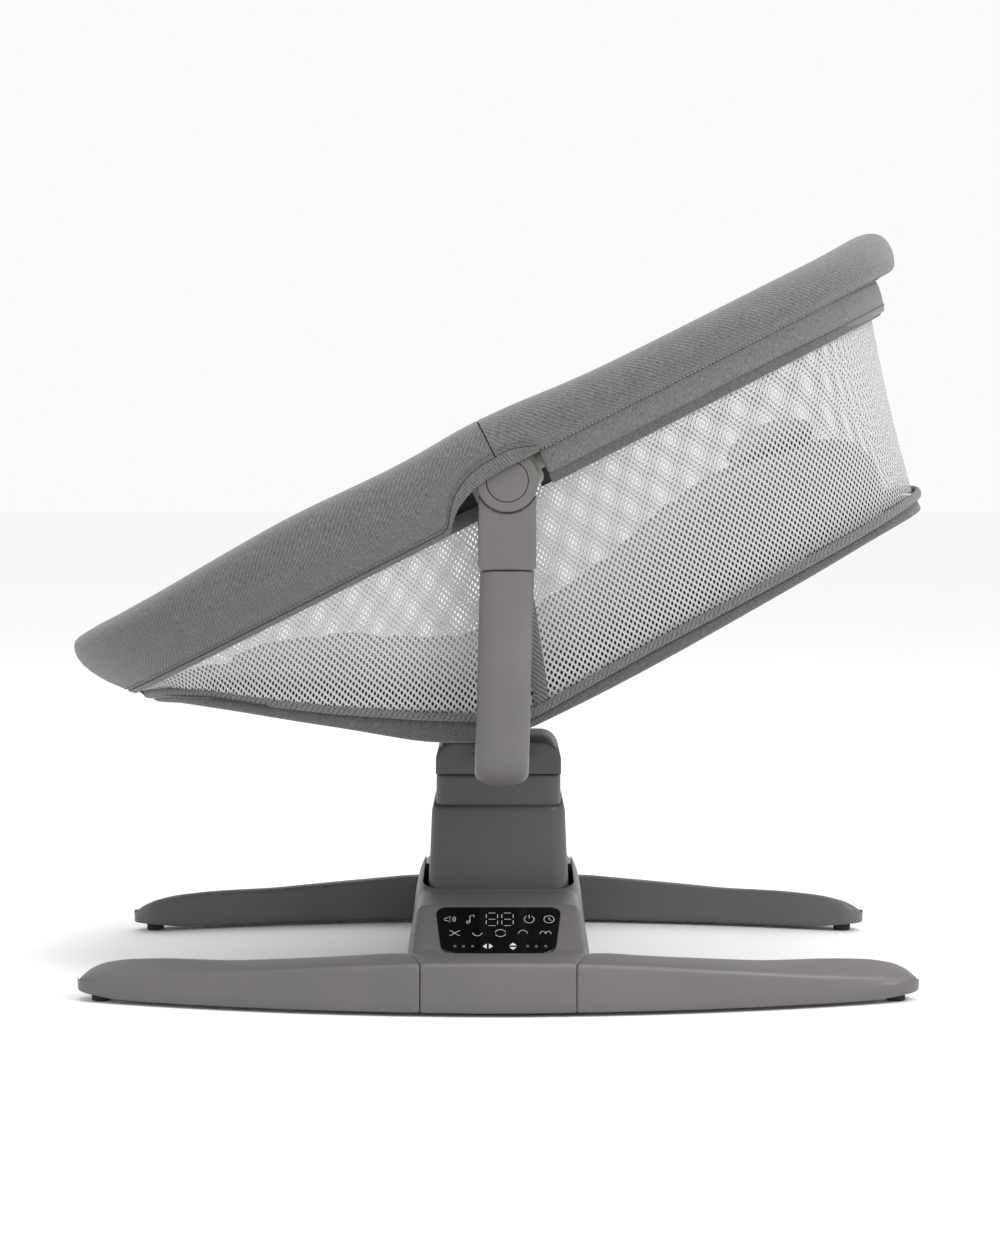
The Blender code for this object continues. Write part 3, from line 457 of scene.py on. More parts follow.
def legs():
    """Four bowed legs, each with a rubber foot under its end."""
    stations = [SEAM_X + 0.3, SEAM_X + 0.8, 78, 90, 105, 122, 140, 160, 180, 200, 222, 245, 268,
                290, 312, 332, 350, 362, 371, 377, 382, 385.5, 387.8, LEG_END]
    for side_y, row in ROWS:
        for side_x, end in ENDS:
            rings = []
            for i, x in enumerate(stations):
                ring = leg_ring(x, side_x, side_y, 1.0 - ease(SEAM_X, 150, x))
                if i == 0:
                    middle = np.mean(ring, axis=0)
                    ring = [tuple(middle + (np.array(p) - middle) * 0.985) for p in ring]
                rings.append(ring)
            leg = skin(f"bowed_leg_{row}_{end}", rings, subdivide=True)
            give(leg, "shell", "base", f"leg_{row}_{end}", slot="plastic")
            x, y = 368.0, LEG_MID_Y - LEG_BOW * (368.0 / LEG_END) ** 2
            foot = round_bar(f"rubber_foot_{row}_{end}", 9.0, (side_x * x, side_y * y, 0.2),
                             (side_x * x, side_y * y, 7.0), bevel=1.2)
            give(foot, "rubber", "base", f"foot_pad_{row}_{end}", slot="rubber")


def housing_ring(y):
    """Half section of the housing at y: front slope, deck, or the collar that swells over it."""
    front = ((84, 3), (87, 6), (87, 14), (86.2, 26), (84, 38), (79, SLOPE_LOW - 0.6),
             (70, SLOPE_LOW), (30, SLOPE_LOW))
    deck = ((84, 3), (87, 6), (86.2, 25), (84.8, 42), (81.5, 62), (77, 79), (72.5, DECK_Z),
            (30, DECK_Z))
    collar = ((84, 3), (87, 6), (86.2, 25), (84.8, 50), (81.5, 78), (78.5, 93),
              (73.2, COLLAR_TOP), (30, COLLAR_TOP))
    distance = abs(y)
    if distance < COLLAR_HALF_Y:
        flank = [mix(d, c, 1.0 - (distance / COLLAR_HALF_Y) ** 2) for d, c in zip(deck, collar)]
    else:
        share = min(max((distance - SLOPE_START) / (SLOPE_END - SLOPE_START), 0.0), 1.0)
        flank = [mix(d, f, share) for d, f in zip(deck, front)]
    return [(x, y, z) for x, z in flank] + [(-x, y, z) for x, z in reversed(flank)]


def glass_outline(grow=0.0):
    """The control glass: wider at the top, round corners and a bowed top edge, in (x, up)."""
    top, bottom, height = 58.5 + grow, 52.0 + grow, 62.0 + 2 * grow
    corners = ((-bottom, -height / 2), (bottom, -height / 2), (top, height / 2), (-top, height / 2))
    outline = []
    for i, point in enumerate(corners):
        here = Vector(point)
        corner = 14.0 if here.y < 0 else 11.0
        before = (Vector(corners[i - 1]) - here).normalized()
        after = (Vector(corners[(i + 1) % 4]) - here).normalized()
        for k in range(9):
            t = k / 8
            spot = ((1 - t) ** 2 * (here + before * corner) + 2 * t * (1 - t) * here
                    + t * t * (here + after * corner))
            if spot.y > 0:
                spot.y += 1.6 * (1 - (spot.x / top) ** 2)
            outline.append((spot.x, spot.y))
    return outline


def slope_point(x, up, height):
    """A point on the front slope: up along it from its middle, and height proud of it."""
    run, rise = SLOPE_END - SLOPE_START, DECK_Z - SLOPE_LOW
    length = math.hypot(run, rise)
    cy, cz = run / length, rise / length
    return (x, -(SLOPE_START + SLOPE_END) / 2 + up * cy - height * cz,
            (DECK_Z + SLOPE_LOW) / 2 + up * cz + height * cy)


def outline_slab(name, outline, layers):
    """A slab on the slope from its outline, with layers of (inset share, height)."""
    rings = [[slope_point(x * (1 - inset), up * (1 - inset), height) for x, up in outline]
             for inset, height in layers]
    return skin(name, rings, smooth_angle=30)


def housing():
    """The cross housing: deck, slopes and collar blended into the leg roots, then opened for the
    column and recessed for the glass."""
    ys = [-240, -SLOPE_END, -222, -206, -190, -SLOPE_START, -160, -120, -84, -70, -55, -40, -20, 0]
    ys += [-y for y in ys[-2::-1]]
    obj = skin("housing_shell", [housing_ring(y) for y in ys])
    for side, row in ROWS:
        rings = []
        for k in range(-8, 9):
            x = k / 8 * (SEAM_X + 0.4)
            ring = leg_ring(abs(x), 1, side, 0.0)
            lagged = leg_ring(abs(x), 1, side, 1.0)
            rings.append([(math.copysign(abs(x) + (q[0] - abs(x)) * (abs(x) / SEAM_X) ** 3, x),
                           p[1], p[2]) for p, q in zip(ring, lagged)])
        bar = skin(f"root_{row}", rings)
        inner = [[(x, side * y, z) for y, z in ((228, 4), (252, 4), (252, 47), (228, 49))]
                 for x in (-84, -70, 0, 70, 84)]
        cut(obj, bar, "UNION")
        cut(obj, skin(f"web_{row}", inner), "UNION")
    mod = obj.modifiers.new("blend", "REMESH")
    mod.mode, mod.voxel_size = "VOXEL", 2.0 * MM
    mod = obj.modifiers.new("fillet", "SMOOTH")
    mod.factor, mod.iterations = 0.5, 9
    apply_modifiers(obj)
    mouth = [rounded(76.5, 82, 18, 40), rounded(74.6, 81.5, 18, DECK_Z - 3),
             rounded(72.6, 81.2, 16, COLLAR_TOP - 4), rounded(71.6, 81, 16, COLLAR_TOP + 6)]
    cut(obj, skin("mouth", mouth))
    cut(obj, outline_slab("recess", glass_outline(0.5), ((0, 6), (0, -1.9))))
    soften(obj, 35)
    give(obj, "shell", "base", "base_housing", slot="plastic")
    glass = outline_slab("touch_glass", glass_outline(), ((0, -1.7), (0, -0.2), (0.005, 0.25),
                                                          (0.014, 0.5), (0.03, 0.55)))
    give(glass, "glass", "base", "control_panel_glass", slot="panel_glass")
    # A near-black plate of painted shade under the collar, seen through the gaps round the column.
    well = skin("collar_well", [rounded(74.5, 80.5, 17, 62), rounded(69.6, 79.9, 17, 61)])
    give(well, "gap", "base", slot="dark_plastic")


def rounded(half_x, half_y, radius, z, steps=8):
    """A rectangle with round corners, as a ring at height z."""
    ring = []
    for quarter, (sx, sy) in enumerate(((1, 1), (-1, 1), (-1, -1), (1, -1))):
        for k in range(steps + 1):
            angle = math.radians(90 * quarter + 90 * k / steps)
            ring.append((sx * (half_x - radius) + radius * math.cos(angle),
                         sy * (half_y - radius) + radius * math.sin(angle), z))
    return ring


# ---------------------------------------------------------------- panel print
def strokes(name, lines, width, material="icon"):
    """Thin printed lines on the glass from rows of (x, up) points in millimetres."""
    curve = bpy.data.curves.new(name, "CURVE")
    curve.dimensions = "3D"
    curve.bevel_depth, curve.bevel_resolution, curve.use_fill_caps = width / 2 * MM, 1, True
    for points in lines:
        spline = curve.splines.new("POLY")
        spline.points.add(len(points) - 1)
        for point, (x, up) in zip(spline.points, points):
            point.co = (x * MM, up * MM, 0, 1)
    obj = bpy.data.objects.new(name, curve)
    bpy.context.scene.collection.objects.link(obj)
    select_only(obj)
    bpy.ops.object.convert(target="MESH")
    obj = bpy.context.object
    for vertex in obj.data.vertices:
        x, up, height = vertex.co / MM
        vertex.co = Vector(slope_point(x, up, GLASS_FACE + height * 0.3)) * MM
    give(obj, material, "base", slot="panel_glass")


def arc(cx, cy, rx, ry, start, end, steps):
    """Points on an oval, from one angle to another in degrees."""
    return [(cx + rx * math.cos(math.radians(start + (end - start) * k / steps)),
             cy + ry * math.sin(math.radians(start + (end - start) * k / steps)))
            for k in range(steps + 1)]


def panel_print():
    """Three rows of generic signs: sound, note, figures, power and clock; five ways to sway; and
    the two directions with their level marks."""
    row1, row2, row3 = 14.8, -3.7, -21.2
    wide, tall, gap = 10.5, 17.0, 1.8
    lines = []
    for left in (-11.3, 3.2):  # two figures of seven bars
        for up in (-tall / 2, 0, tall / 2):
            lines.append([(left + 2, row1 + up), (left + wide - 2, row1 + up)])
        for x in (left, left + wide):
            for low in (-tall / 2 + gap, gap):
                lines.append([(x, row1 + low), (x, row1 + low + tall / 2 - 2 * gap)])
    for row, points in ((row1, ((-50, -1.6), (-48, -1.6), (-45, -4), (-45, 4), (-48, 1.6),
                                (-50, 1.6), (-50, -1.6))),
                        (row1, ((-26.5, -3.8), (-26.5, 4.6), (-22.6, 5.6), (-22.6, 2.6))),
                        (row1, ((28.6, 1), (28.6, 6))),
                        (row1, ((47.0, 2.8), (47.0, 0), (49.2, -1.6)))):
        lines.append([(x, row + up) for x, up in points])
    for flip in (-1, 1):
        lines.append([(-40.3 + 4.8 * t, row2 + flip * 3.2 * math.sin(t * 1.45))
                      for t in (k / 7 for k in range(-7, 8))])
    for cx, cy, rx, ry, start, end, steps in (
            (-44.5, row1, 2.6, 2.6, -50, 50, 8), (-44.5, row1, 4.6, 4.6, -50, 50, 8),
            (-28.0, row1 - 3.8, 1.6, 1.6, 0, 360, 10), (28.6, row1, 4.6, 4.9, 120, 420, 14),
            (47.0, row1, 4.7, 4.9, 0, 360, 20), (-19.4, row2 + 2.5, 4.6, 6.2, 200, 340, 14),
            (1.9, row2, 4.9, 4.7, 20, 170, 10), (1.9, row2, 4.9, 4.7, 200, 350, 10),
            (22.7, row2 - 2.5, 4.6, 6.2, 20, 160, 14), (41.0, row2 - 2, 2.6, 4.4, 15, 170, 8),
            (46.2, row2 - 2, 2.6, 4.4, 10, 165, 8)):
        lines.append(arc(cx, cy, rx, ry, start, end, steps))
    strokes("icon_print", lines, 0.5)
    solid = []
    for cx, across in ((-9.7, False), (13.4, True)):
        for side in (-1, 1):
            for reach in (1.3, 1.8, 2.3, 2.8, 3.3, 3.8, 4.3):
                half = (4.7 - reach) * 0.95
                bar = [(side * reach, -half), (side * reach, half)]
                solid.append([(cx + (b if across else a), row3 + (a if across else b))
                              for a, b in bar])
    strokes("arrow_print", solid, 0.6)
    marks = [[(x - 1.2, row3 + up), (x + 1.2, row3 + up)]
             for x in (-39.9, -32, -23.6, 27, 34.9, 43.6) for up in (-0.9, 0.9)]
    strokes("level_print", marks, 0.55, "bracket")


# ---------------------------------------------------------------- tower and yoke
def tower():
    """Two open column stages, the upper inside the lower's rolled lip: rows of half sizes by
    height."""
    for level, body, corner, rows in (
            ("lower", "rocker", 16, ((69.2, 80.2, 62), (68.6, 79.8, 82), (67.2, 78.4, 110),
                                     (65.9, 77.1, 140), (65.3, 76.5, 157), (65.0, 76.2, 160),
                                     (64.4, 75.6, 163), (63.4, 74.6, 164.7), (62.4, 73.4, 165),
                                     (62.2, 73.2, 163.5), (62.1, 73.1, 150))),
            ("upper", "lift", 15, ((61.2, 71.0, 92), (61.0, 70.8, 150), (60.8, 70.6, 190),
                                   (60.6, 70.4, 193.2), (59.9, 69.7, 194.4),
                                   (58.0, 68.0, 194.8)))):
        rings = [rounded(half_x, half_y, corner, z) for half_x, half_y, z in rows]
        stage = skin(f"{level}_stage", rings, caps=False, smooth_angle=50)
        # Painted shade: the stages get the shell's plastic darkened for the shade under the basket.
        give(stage, "tower", body, f"{level}_column", slot="dark_plastic")


def cap_outline(grow):
    """The cap's end view: square foot and two round shoulders."""
    radius, half, top = 19.0, 61.2 + grow, 227.6 + grow
    side = [(half, 195.4), (half, 200), (half, top - radius)]
    side += [(half - radius + radius * math.cos(math.radians(9 * k)),
              top - radius + radius * math.sin(math.radians(9 * k))) for k in range(1, 11)]
    return side + [(-x, z) for x, z in reversed(side)]


def cap():
    """The cap over the upper stage, its end edges rolled."""
    rings = []
    for y, grow in ((-70.9, -4.5), (-71.1, -2.4), (-70.2, -0.8), (-68.6, 0), (68.6, 0),
                    (70.2, -0.8), (71.1, -2.4), (70.9, -4.5)):
        rings.append([(x, y, z) for x, z in cap_outline(grow)])
    obj = skin("tower_cap", rings, smooth_angle=35)
    for x, radius in ((0, 6.5), (-36, 5.5), (36, 5.5)):  # room for the screw and guide rods
        cut(obj, round_bar("rod_pocket", radius, (x, 0, 120), (x, 0, 201), sides=32, bevel=0))
    soften(obj, 35)
    # Painted shade: the cap gets the same darkened grey as the stages.
    give(obj, "tower", "lift", "column_cap", slot="dark_plastic")


def arms():
    """Two arms swept out from the cap and up round a bend, a little to the foot end below."""
    bend, half, thick = 22.0, 24.5, 12.0
    section = []
    for k in range(36):  # a broad oval, flatter on the basket's side
        angle = math.radians(10 * k)
        x, n = squircle(half, thick, angle, 2.4 if math.sin(angle) < 0 else 4.5)
        section.append((x, n))
    path = [(71.9, ARM_LOW, 0.0), (100, ARM_LOW, 0.0), (180, ARM_LOW, 0.0)]
    for k in range(13):
        angle = math.radians(7.5 * k)
        path.append((ARM_Y - bend + bend * math.sin(angle),
                     ARM_LOW + bend - bend * math.cos(angle), angle))
    path += [(ARM_Y, 300, math.pi / 2), (ARM_Y, 398.6, math.pi / 2)]
    for side, row in ROWS:
        rings = []
        for y, z, a in path:
            lean = 5.0 * (399.7 - z) / (399.7 - ARM_LOW)
            rings.append([(PIVOT_X - lean + x, side * (y - n * math.sin(a)), z + n * math.cos(a))
                          for x, n in section])
        rings.append([(PIVOT_X + x * 0.96, side * (ARM_Y - n * 0.9), 399.6) for x, n in section])
        arm = skin(f"bent_arm_{row}", rings, smooth_angle=40)
        give(arm, "shell", "lift", f"yoke_arm_{row}", slot="plastic")


def sleeve_outline(grow):
    """The sleeve's face: square foot, straight sides and a saddle that the hub sits in."""
    half, low, saddle = 26.25 + grow, 400.2 - grow, HUB_R + 1.5 - grow * 0.2
    outline = [(half, low + 3), (half, PIVOT_Z - 30), (half, PIVOT_Z - 15)]
    first = math.degrees(math.asin(min(0.999, half / (saddle + 1.5))))
    for k in range(17):
        angle = math.radians(-90 + first - 2 * first * k / 16)
        outline.append((saddle * math.cos(angle), PIVOT_Z + saddle * math.sin(angle)))
    outline += [(-half, PIVOT_Z - 15), (-half, PIVOT_Z - 30), (-half, low + 3), (-half + 3, low),
                (half - 3, low)]
    return outline


def arm_heads():
    """Sleeve, round hub, dark seal between them, and the release button in the hub."""
    for side, row in ROWS:
        rings = []
        for y, grow, bow in ((249.4, -2.0, 0), (250.0, -0.6, 0), (251.4, 0, 0), (268.8, 0, 0),
                             (271.8, -0.7, 0.4), (273.2, -2.0, 1.0), (273.6, -5.0, 1.6),
                             (273.8, -12.0, 1.6)):
            rings.append([(PIVOT_X + x, side * (y - bow * (x / 26.0) ** 2), z)
                          for x, z in sleeve_outline(grow)])
        sleeve = skin(f"arm_sleeve_{row}", rings, smooth_angle=35)
        give(sleeve, "shell", "lift", f"arm_head_{row}", slot="plastic")
        hub = round_bar(f"pivot_hub_{row}", HUB_R, (PIVOT_X, side * 249.2, PIVOT_Z),
                        (PIVOT_X, side * 275.6, PIVOT_Z), sides=96, bevel=1.6)
        cut(hub, round_bar("pocket", BUTTON_R + 0.6, (PIVOT_X, side * 266, PIVOT_Z),
                           (PIVOT_X, side * 280, PIVOT_Z), sides=96, bevel=0))
        cut(hub, round_bar("bore", 6.3, (PIVOT_X, side * 240, PIVOT_Z),
                           (PIVOT_X, side * 270, PIVOT_Z), sides=48, bevel=0))
        soften(hub, 35)
        give(hub, "shell", "lift", slot="plastic")
        seal = [[(PIVOT_X + r * math.cos(a), side * y, PIVOT_Z + r * math.sin(a))
                 for r, y in ((HUB_R + 0.1, 273.3), (HUB_R + 1.7, 273.3), (HUB_R + 1.7, 270.0),
                              (HUB_R + 0.1, 270.0))]
                for a in (math.radians(-152 + 124 * k / 40) for k in range(41))]
        give(skin(f"hub_seal_{row}", seal, smooth_angle=30), "liner", "lift", slot="rubber")
        button = round_bar(f"push_button_{row}", BUTTON_R, (PIVOT_X, side * 270, PIVOT_Z),
                           (PIVOT_X, side * 275.8, PIVOT_Z), sides=96, bevel=1.1)
        give(button, "shell", f"button_{row}", f"release_button_{row}", slot="plastic")


# ---------------------------------------------------------------- basket: rim
def squircle(half_long, half_wide, angle, square=RIM_SQUARE):
    """A point on an oval that is squarer the larger square is; 2 is a plain oval."""
    c, s = math.cos(angle), math.sin(angle)
    power = 2.0 / square
    return (half_long * math.copysign(abs(c) ** power, c),
            half_wide * math.copysign(abs(s) ** power, s))


def rim_normal(x, y, reach):
    """The outward direction of the rim's plan at (x, y), as a unit vector."""
    nx = abs(x / reach) ** (RIM_SQUARE - 1) / reach
    ny = math.copysign(abs(y / RIM_HALF) ** (RIM_SQUARE - 1) / RIM_HALF, y)
    size = math.hypot(nx, ny)
    return nx / size, ny / size


def rim_stations(end, spots):
    """Stations on the rim tube's plan: (x, y, outward x, outward y), from -Y round to +Y. spots
    are distances from the pivot along the straight side; the round end is filled evenly."""
    half_long = RIM_FOOT if end < 0 else RIM_HEAD
    side = [math.acos((x / half_long) ** (RIM_SQUARE / 2)) for x in spots]
    bend = [side[-1] * (1 - k / 22) for k in range(1, 22)]
    one = side + bend
    rows = []
    for angle in [-a for a in one] + [0.0] + one[::-1]:
        x, y = squircle(half_long, RIM_HALF, angle)
        nx, ny = rim_normal(x, y, half_long)
        rows.append((end * x, y, end * nx, ny))
    return rows


def place(station, section):
    """A section's (out, up) points at a station, as (x, y, up)."""
    x, y, nx, ny = station
    return [(x + nx * n, y + ny * n, w) for n, w in section]


# stations along the straight sides, in millimetres from the pivot; closer over the arch
SIDE_SPOTS = [0.35, 0.8, 2.2, 7, 14, 22, 30, 38, 46, 51, 56, 61, 66, 73, 84, 100, 120, 145, 170,
              200, 230, 260, 290]


def arch_share(x):
    """How far the hem has risen into the arch over the pivot, from 0 to 1."""
    return (at(ARCH, x) - HEM) / (ARCH[-1][1] - HEM)


def hump(x, y):
    """The cover stands higher over the pivots, and along the foot half's sides."""
    side = 7.0 * math.exp(-((x + 190.0) / 95.0) ** 2) * ease(60, 200, abs(y))
    return 7.5 * math.exp(-(x / 80.0) ** 2) + side


def roll_top(station, rise):
    """The padded roll's outer points from its inner lower edge over the crest."""
    x, y, nx, _ = station
    end = abs(nx) ** 3
    foot = x < 0
    points = [(-11, 15), (-15.5, 22), (-17, 32), (-13, 44), (-2, 51), (14, 54.2), (29.5, 53.2),
              (42, 47.5), (49, 36.5)]
    shoulder_end = (45, 43) if foot else (44.5, 36)
    corner_end = (40, 52.5) if foot else (42.5, 49)
    points[-1] = mix(points[-1], shoulder_end, end)
    points[-2] = mix(points[-2], corner_end, end)
    if not foot:
        points[-3] = mix(points[-3], (31, 57), end)
        points[-4] = mix(points[-4], (14, 59), end)
    outer = []
    for n, w in points:
        wave = 0.5 * ripple(x + n, y, w, 38.0) + 0.25 * ripple(x, y + n, w, 14.0, 7.0)
        outer.append((n + wave, w + rise * ease(15, 45, w) + wave))
    return outer


# the roll's lining, round the rim tube
ROLL_IN = [(42, 35), (33, 44), (14, 46.5), (-3, 44), (-11, 37), (-12.5, 28), (-8, 16.5)]


# the covers below the roll, from its side to the hem and back inside: (out, up) along the straight
# side, at the round end, and over the pivot
FLAP = {
    -1: (((49, 22), (44.5, 28), (48.8, 27)), ((46.5, 4), (33, 7), (48, 20)),
         ((38, -9.5), (20, -9), (47, 15.5)), ((25, HEM), (9, HEM), (46, 11.6)),
         ((22.5, HEM + 1), (6.5, HEM + 1), (43.4, 12.4)), ((34, -8), (16, -8), (44.2, 17)),
         ((42, 5), (29, 8), (44.5, 22))),
    1: (((48.5, 26), (44, 27), (48.8, 27)), ((44.5, 16.5), (40.5, 17), (48, 20)),
        ((36, 12.4), (36, 12.4), (47, 15.5)), ((27, 12.2), (27, 12.2), (46, 11.8)),
        ((26, 15), (26, 15), (43.4, 12.4)), ((34, 16.5), (34, 16.5), (44.2, 17)),
        ((40.5, 21), (40.5, 21), (44.5, 22))),
}
HEM_INDEX = 12  # the hem's place in a cover's section, after the roll's nine points


def cover_section(station, half):
    """A cover's closed section: roll, flap down to the hem and back, and lining. half is -1 for
    the foot cover, whose hem arches over the pivot, and 1 for the head cover."""
    x, y, nx, _ = station
    end = abs(nx) ** 3
    lift = arch_share(x) if half < 0 else 1.0 - ease(34, 54, x)
    rise = hump(x, y)
    flap = [mix(mix(straight, bend, end), over, lift) for straight, bend, over in FLAP[half]]
    lining = [(n, w + rise * ease(15, 45, w)) for n, w in ROLL_IN]
    return roll_top(station, rise) + flap + lining


def rim_covers():
    for half, end in ENDS:
        rings = [place(spot, cover_section(spot, half)) for spot in rim_stations(half, SIDE_SPOTS)]
        cover = sewn(f"{end}_rim_cover", rings, "twill", f"rim_cover_{end}", subdivide=True)


def surface_band(section, start, end, proud):
    """A strip on the outside of a section, from start to end millimetres up from its hem."""
    line = np.array([section[HEM_INDEX - k] for k in range(5)], float)
    run = lengths(line)
    strip = []
    for here in (start + (end - start) * k / 4 for k in range(5)):
        n, w = (np.interp(here, run, line[:, i]) for i in (0, 1))
        ahead = (np.interp(here + 1, run, line[:, 0]) - n, np.interp(here + 1, run, line[:, 1]) - w)
        size = max(math.hypot(*ahead), 1e-6)
        strip.append((n + ahead[1] / size * proud, w - ahead[0] / size * proud))
    return strip


def binding_and_stitches():
    """The ribbed binding along the foot cover's hem and over both arches, with two rows of
    stitches beside it."""
    over = [s for s in rim_stations(1, SIDE_SPOTS) if abs(s[0]) < 40]
    half = len(over) // 2
    stations = over[:half][::-1] + rim_stations(-1, SIDE_SPOTS) + over[half:][::-1]
    strips, rows = [], {"upper": [], "lower": []}
    for station in stations:
        section = cover_section(station, -1 if station[0] < 0 else 1)
        wide = 6.5 + 5.5 * ease(0.1, 0.8, arch_share(station[0]))
        wide *= 1 - 0.6 * ease(14, 40, station[0])
        outside = surface_band(section, 0.0, wide, 1.1)
        back = [(n - 1.0, w) for n, w in surface_band(section, 0.0, wide, 0.0)][::-1]
        hem, inside = section[HEM_INDEX:HEM_INDEX + 2]
        under = [(mix(hem, inside, 0.5)[0], hem[1] - 1.0)]
        strips.append(place(station, outside + back + under))
        for key, offset in (("upper", wide + 5.0), ("lower", wide + 0.8)):
            spot = surface_band(section, offset, offset + 1, 0.5)[0]
            rows[key].append(place(station, [spot])[0])
    sewn("foot_hem_binding", strips, "binding")
    stitch_row("foot_hem_stitches", [rows["lower"], rows["upper"]], "dark_thread", radius=0.32)


def hem_bridges():
    """The foot hem's band runs on behind the arch, up to the yoke sleeve."""
    for side, row in ROWS:
        rings, upper, lower = [], [], []
        for x, n in ((-92, 24.2), (-84, 23.2), (-76, 21.6), (-68, 19.0), (-60, 16.0), (-50, 13.0),
                     (-40, 11.2), (-30, 10.4), (-22, 10.2)):
            y = RIM_HALF + n
            rings.append([(x, side * (y + dn), w) for dn, w in
                          ((0.4, HEM - 0.6), (1.2, HEM + 1.5), (1.6, HEM + 6), (1.4, HEM + 10.5),
                           (0.6, HEM + 12.4), (-0.8, HEM + 12.4), (-1.0, HEM + 6),
                           (-0.8, HEM - 0.6))])
            upper.append((x, side * (y + 1.9), HEM + 8.4))
            lower.append((x, side * (y + 1.9), HEM + 5.0))
        sewn(f"hem_bridge_{row}", rings, "hem")
        stitch_row(f"hem_bridge_stitches_{row}", [upper, lower], "dark_thread", radius=0.32)


def stitch_row(name, paths, material, length=3.0, pitch=4.2, radius=0.42):
    """Rows of short raised stitches along paths in the basket's frame, as one piece."""
    deselect()
    verts, faces = [], []
    for path in paths:
        points = np.array(path, float)
        run = lengths(points)
        count = int(run[-1] // pitch)
        for k in range(count):
            ends = []
            for spot in (k * pitch, k * pitch + length):
                ends.append(Vector([np.interp(spot, run, points[:, i]) for i in range(3)]))
            axis = (ends[1] - ends[0]).normalized()
            side = axis.cross(Vector((0, 0, 1))).normalized() * radius
            up = axis.cross(side).normalized() * radius
            base = len(verts)
            for point, scale in ((ends[0], 0.4), (ends[0] + axis * 0.7, 1.0),
                                 (ends[1] - axis * 0.7, 1.0), (ends[1], 0.4)):
                verts += [point + (side * c + up * s) * scale
                          for c, s in ((1, 0), (0, 1), (-1, 0), (0, -1))]
            for ring in range(3):
                a = base + ring * 4
                faces += [(a + i, a + (i + 1) % 4, a + 4 + (i + 1) % 4, a + 4 + i)
                          for i in range(4)]
            faces += [(base + 3, base + 2, base + 1, base), tuple(base + 12 + i for i in range(4))]
    mesh = bpy.data.meshes.new(name)
    mesh.from_pydata([BASKET @ (v * MM) for v in verts], [], faces)
    mesh.uv_layers.new(name="UVMap")
    obj = bpy.data.objects.new(name, mesh)
    bpy.context.scene.collection.objects.link(obj)
    face_outwards(obj)
    mesh.shade_smooth()
    give(obj, material, "basket", slot="twill")


def skirt():
    """The head half's skirt below the roll, its folded hem, and a row of stitches on each."""
    head = rim_stations(1, [36, 41] + [s for s in SIDE_SPOTS if s > 45])
    band, hem, cord, thread = [], [], [], []
    for station in head:
        x, y, nx, _ = station
        end = abs(nx) ** 3
        wave = 0.7 * ripple(x, y, 0, 60, 3.0)
        lean = -15 * end
        ring = [(31.5, 12.4), (31.6 + wave, 6), (31 + wave, -1), (28 + wave, -13), (26, HEM + 1),
                (24.6, HEM + 1), (26.4 + wave, -13), (29.4 + wave, -1), (29.8, 12.4)]
        band.append(place(station, [(n + lean, w) for n, w in ring]))
        fold = [(28.6 + lean, -11.5), (29.2 + lean, -13.5), (27.8 + lean, HEM + 1),
                (26.4 + lean, HEM - 0.6), (24.0 + lean, HEM - 0.4), (23.8 + lean, -13),
                (27.2 + lean, -12.2)]
        hem.append(place(station, [(n - 6.5 * end, w) for n, w in fold]))
        cord.append(place(station, [(33.5 + lean, 12.0 + 0.2 * wave)])[0])
        thread.append(place(station, [(28.5 + lean, -12.6)])[0])
    drop = sewn("head_skirt", band, "skirt", "rim_skirt_head", subdivide=True)
    fold = sewn("head_skirt_hem", hem, "hem")
    stitch_row("skirt_seam_stitches", [cord], "thread", length=3.4, pitch=3.9, radius=0.75)
    stitch_row("skirt_hem_stitches", [thread], "dark_thread")


def covers_seam():
    """A near-black strip of painted shade in the seam over the top where the two halves of the
    cover meet.
    """
    for side, row in ROWS:
        section = cover_section((-0.4, side * RIM_HALF, 0.0, side), -1)[:HEM_INDEX - 1]
        middle = np.mean(section, axis=0)
        rings = []
        for x in (-0.5, 0.5):
            rings.append([(x, side * (RIM_HALF + n), w) for n, w in
                          [mix(point, middle, 0.055) for point in section]
                          + [mix(point, middle, 0.2) for point in reversed(section)]])
        sewn(f"cover_seam_{row}", rings, "gap", angle=40)


# ---------------------------------------------------------------- basket: mesh walls
WALL_STEPS = 120  # rows of a wall table from the round end's middle to one side
MESH_PITCH = (5.5, 7.6)  # millimetres between holes, along and down


def wall_table(end):
    """Top and bottom points of a mesh wall round one end, by angle: head or foot. The wall tucks
    in under the rim's round end."""
    rows = []
    reach, floor_reach, tuck = ((RIM_HEAD, FLOOR_HEAD, 27.0) if end > 0 else
                                (RIM_FOOT, FLOOR_FOOT, 12.0))
    for k in range(-WALL_STEPS, WALL_STEPS + 1):
        angle = math.radians(90.0) * k / WALL_STEPS
        top_x, top_y = squircle(reach, RIM_HALF, angle)
        low_x, low_y = squircle(floor_reach, FLOOR_HALF, angle, FLOOR_SQUARE)
        nx, ny = rim_normal(top_x, top_y, reach)
        offset = at(((55, 9.5), (125, 22.5)), top_x) - tuck * nx ** 3
        top_x, top_y = top_x + offset * nx, top_y + offset * ny
        seam_top, seam_low = end * SEAM_TOP, end * SEAM_LOW
        top_x = seam_top + top_x * (reach - seam_top) / reach
        low_x = seam_low + low_x * (floor_reach - seam_low) / floor_reach
        low_z = at(FLOOR_LINE, end * low_x) + 2.0
        if end < 0:
            low_y *= at(((100, 1.0), (400, 1.17)), low_x)
        rows.append(((end * top_x, top_y, HEM + 0.5), (end * low_x, low_y, low_z)))
    return np.array(rows)


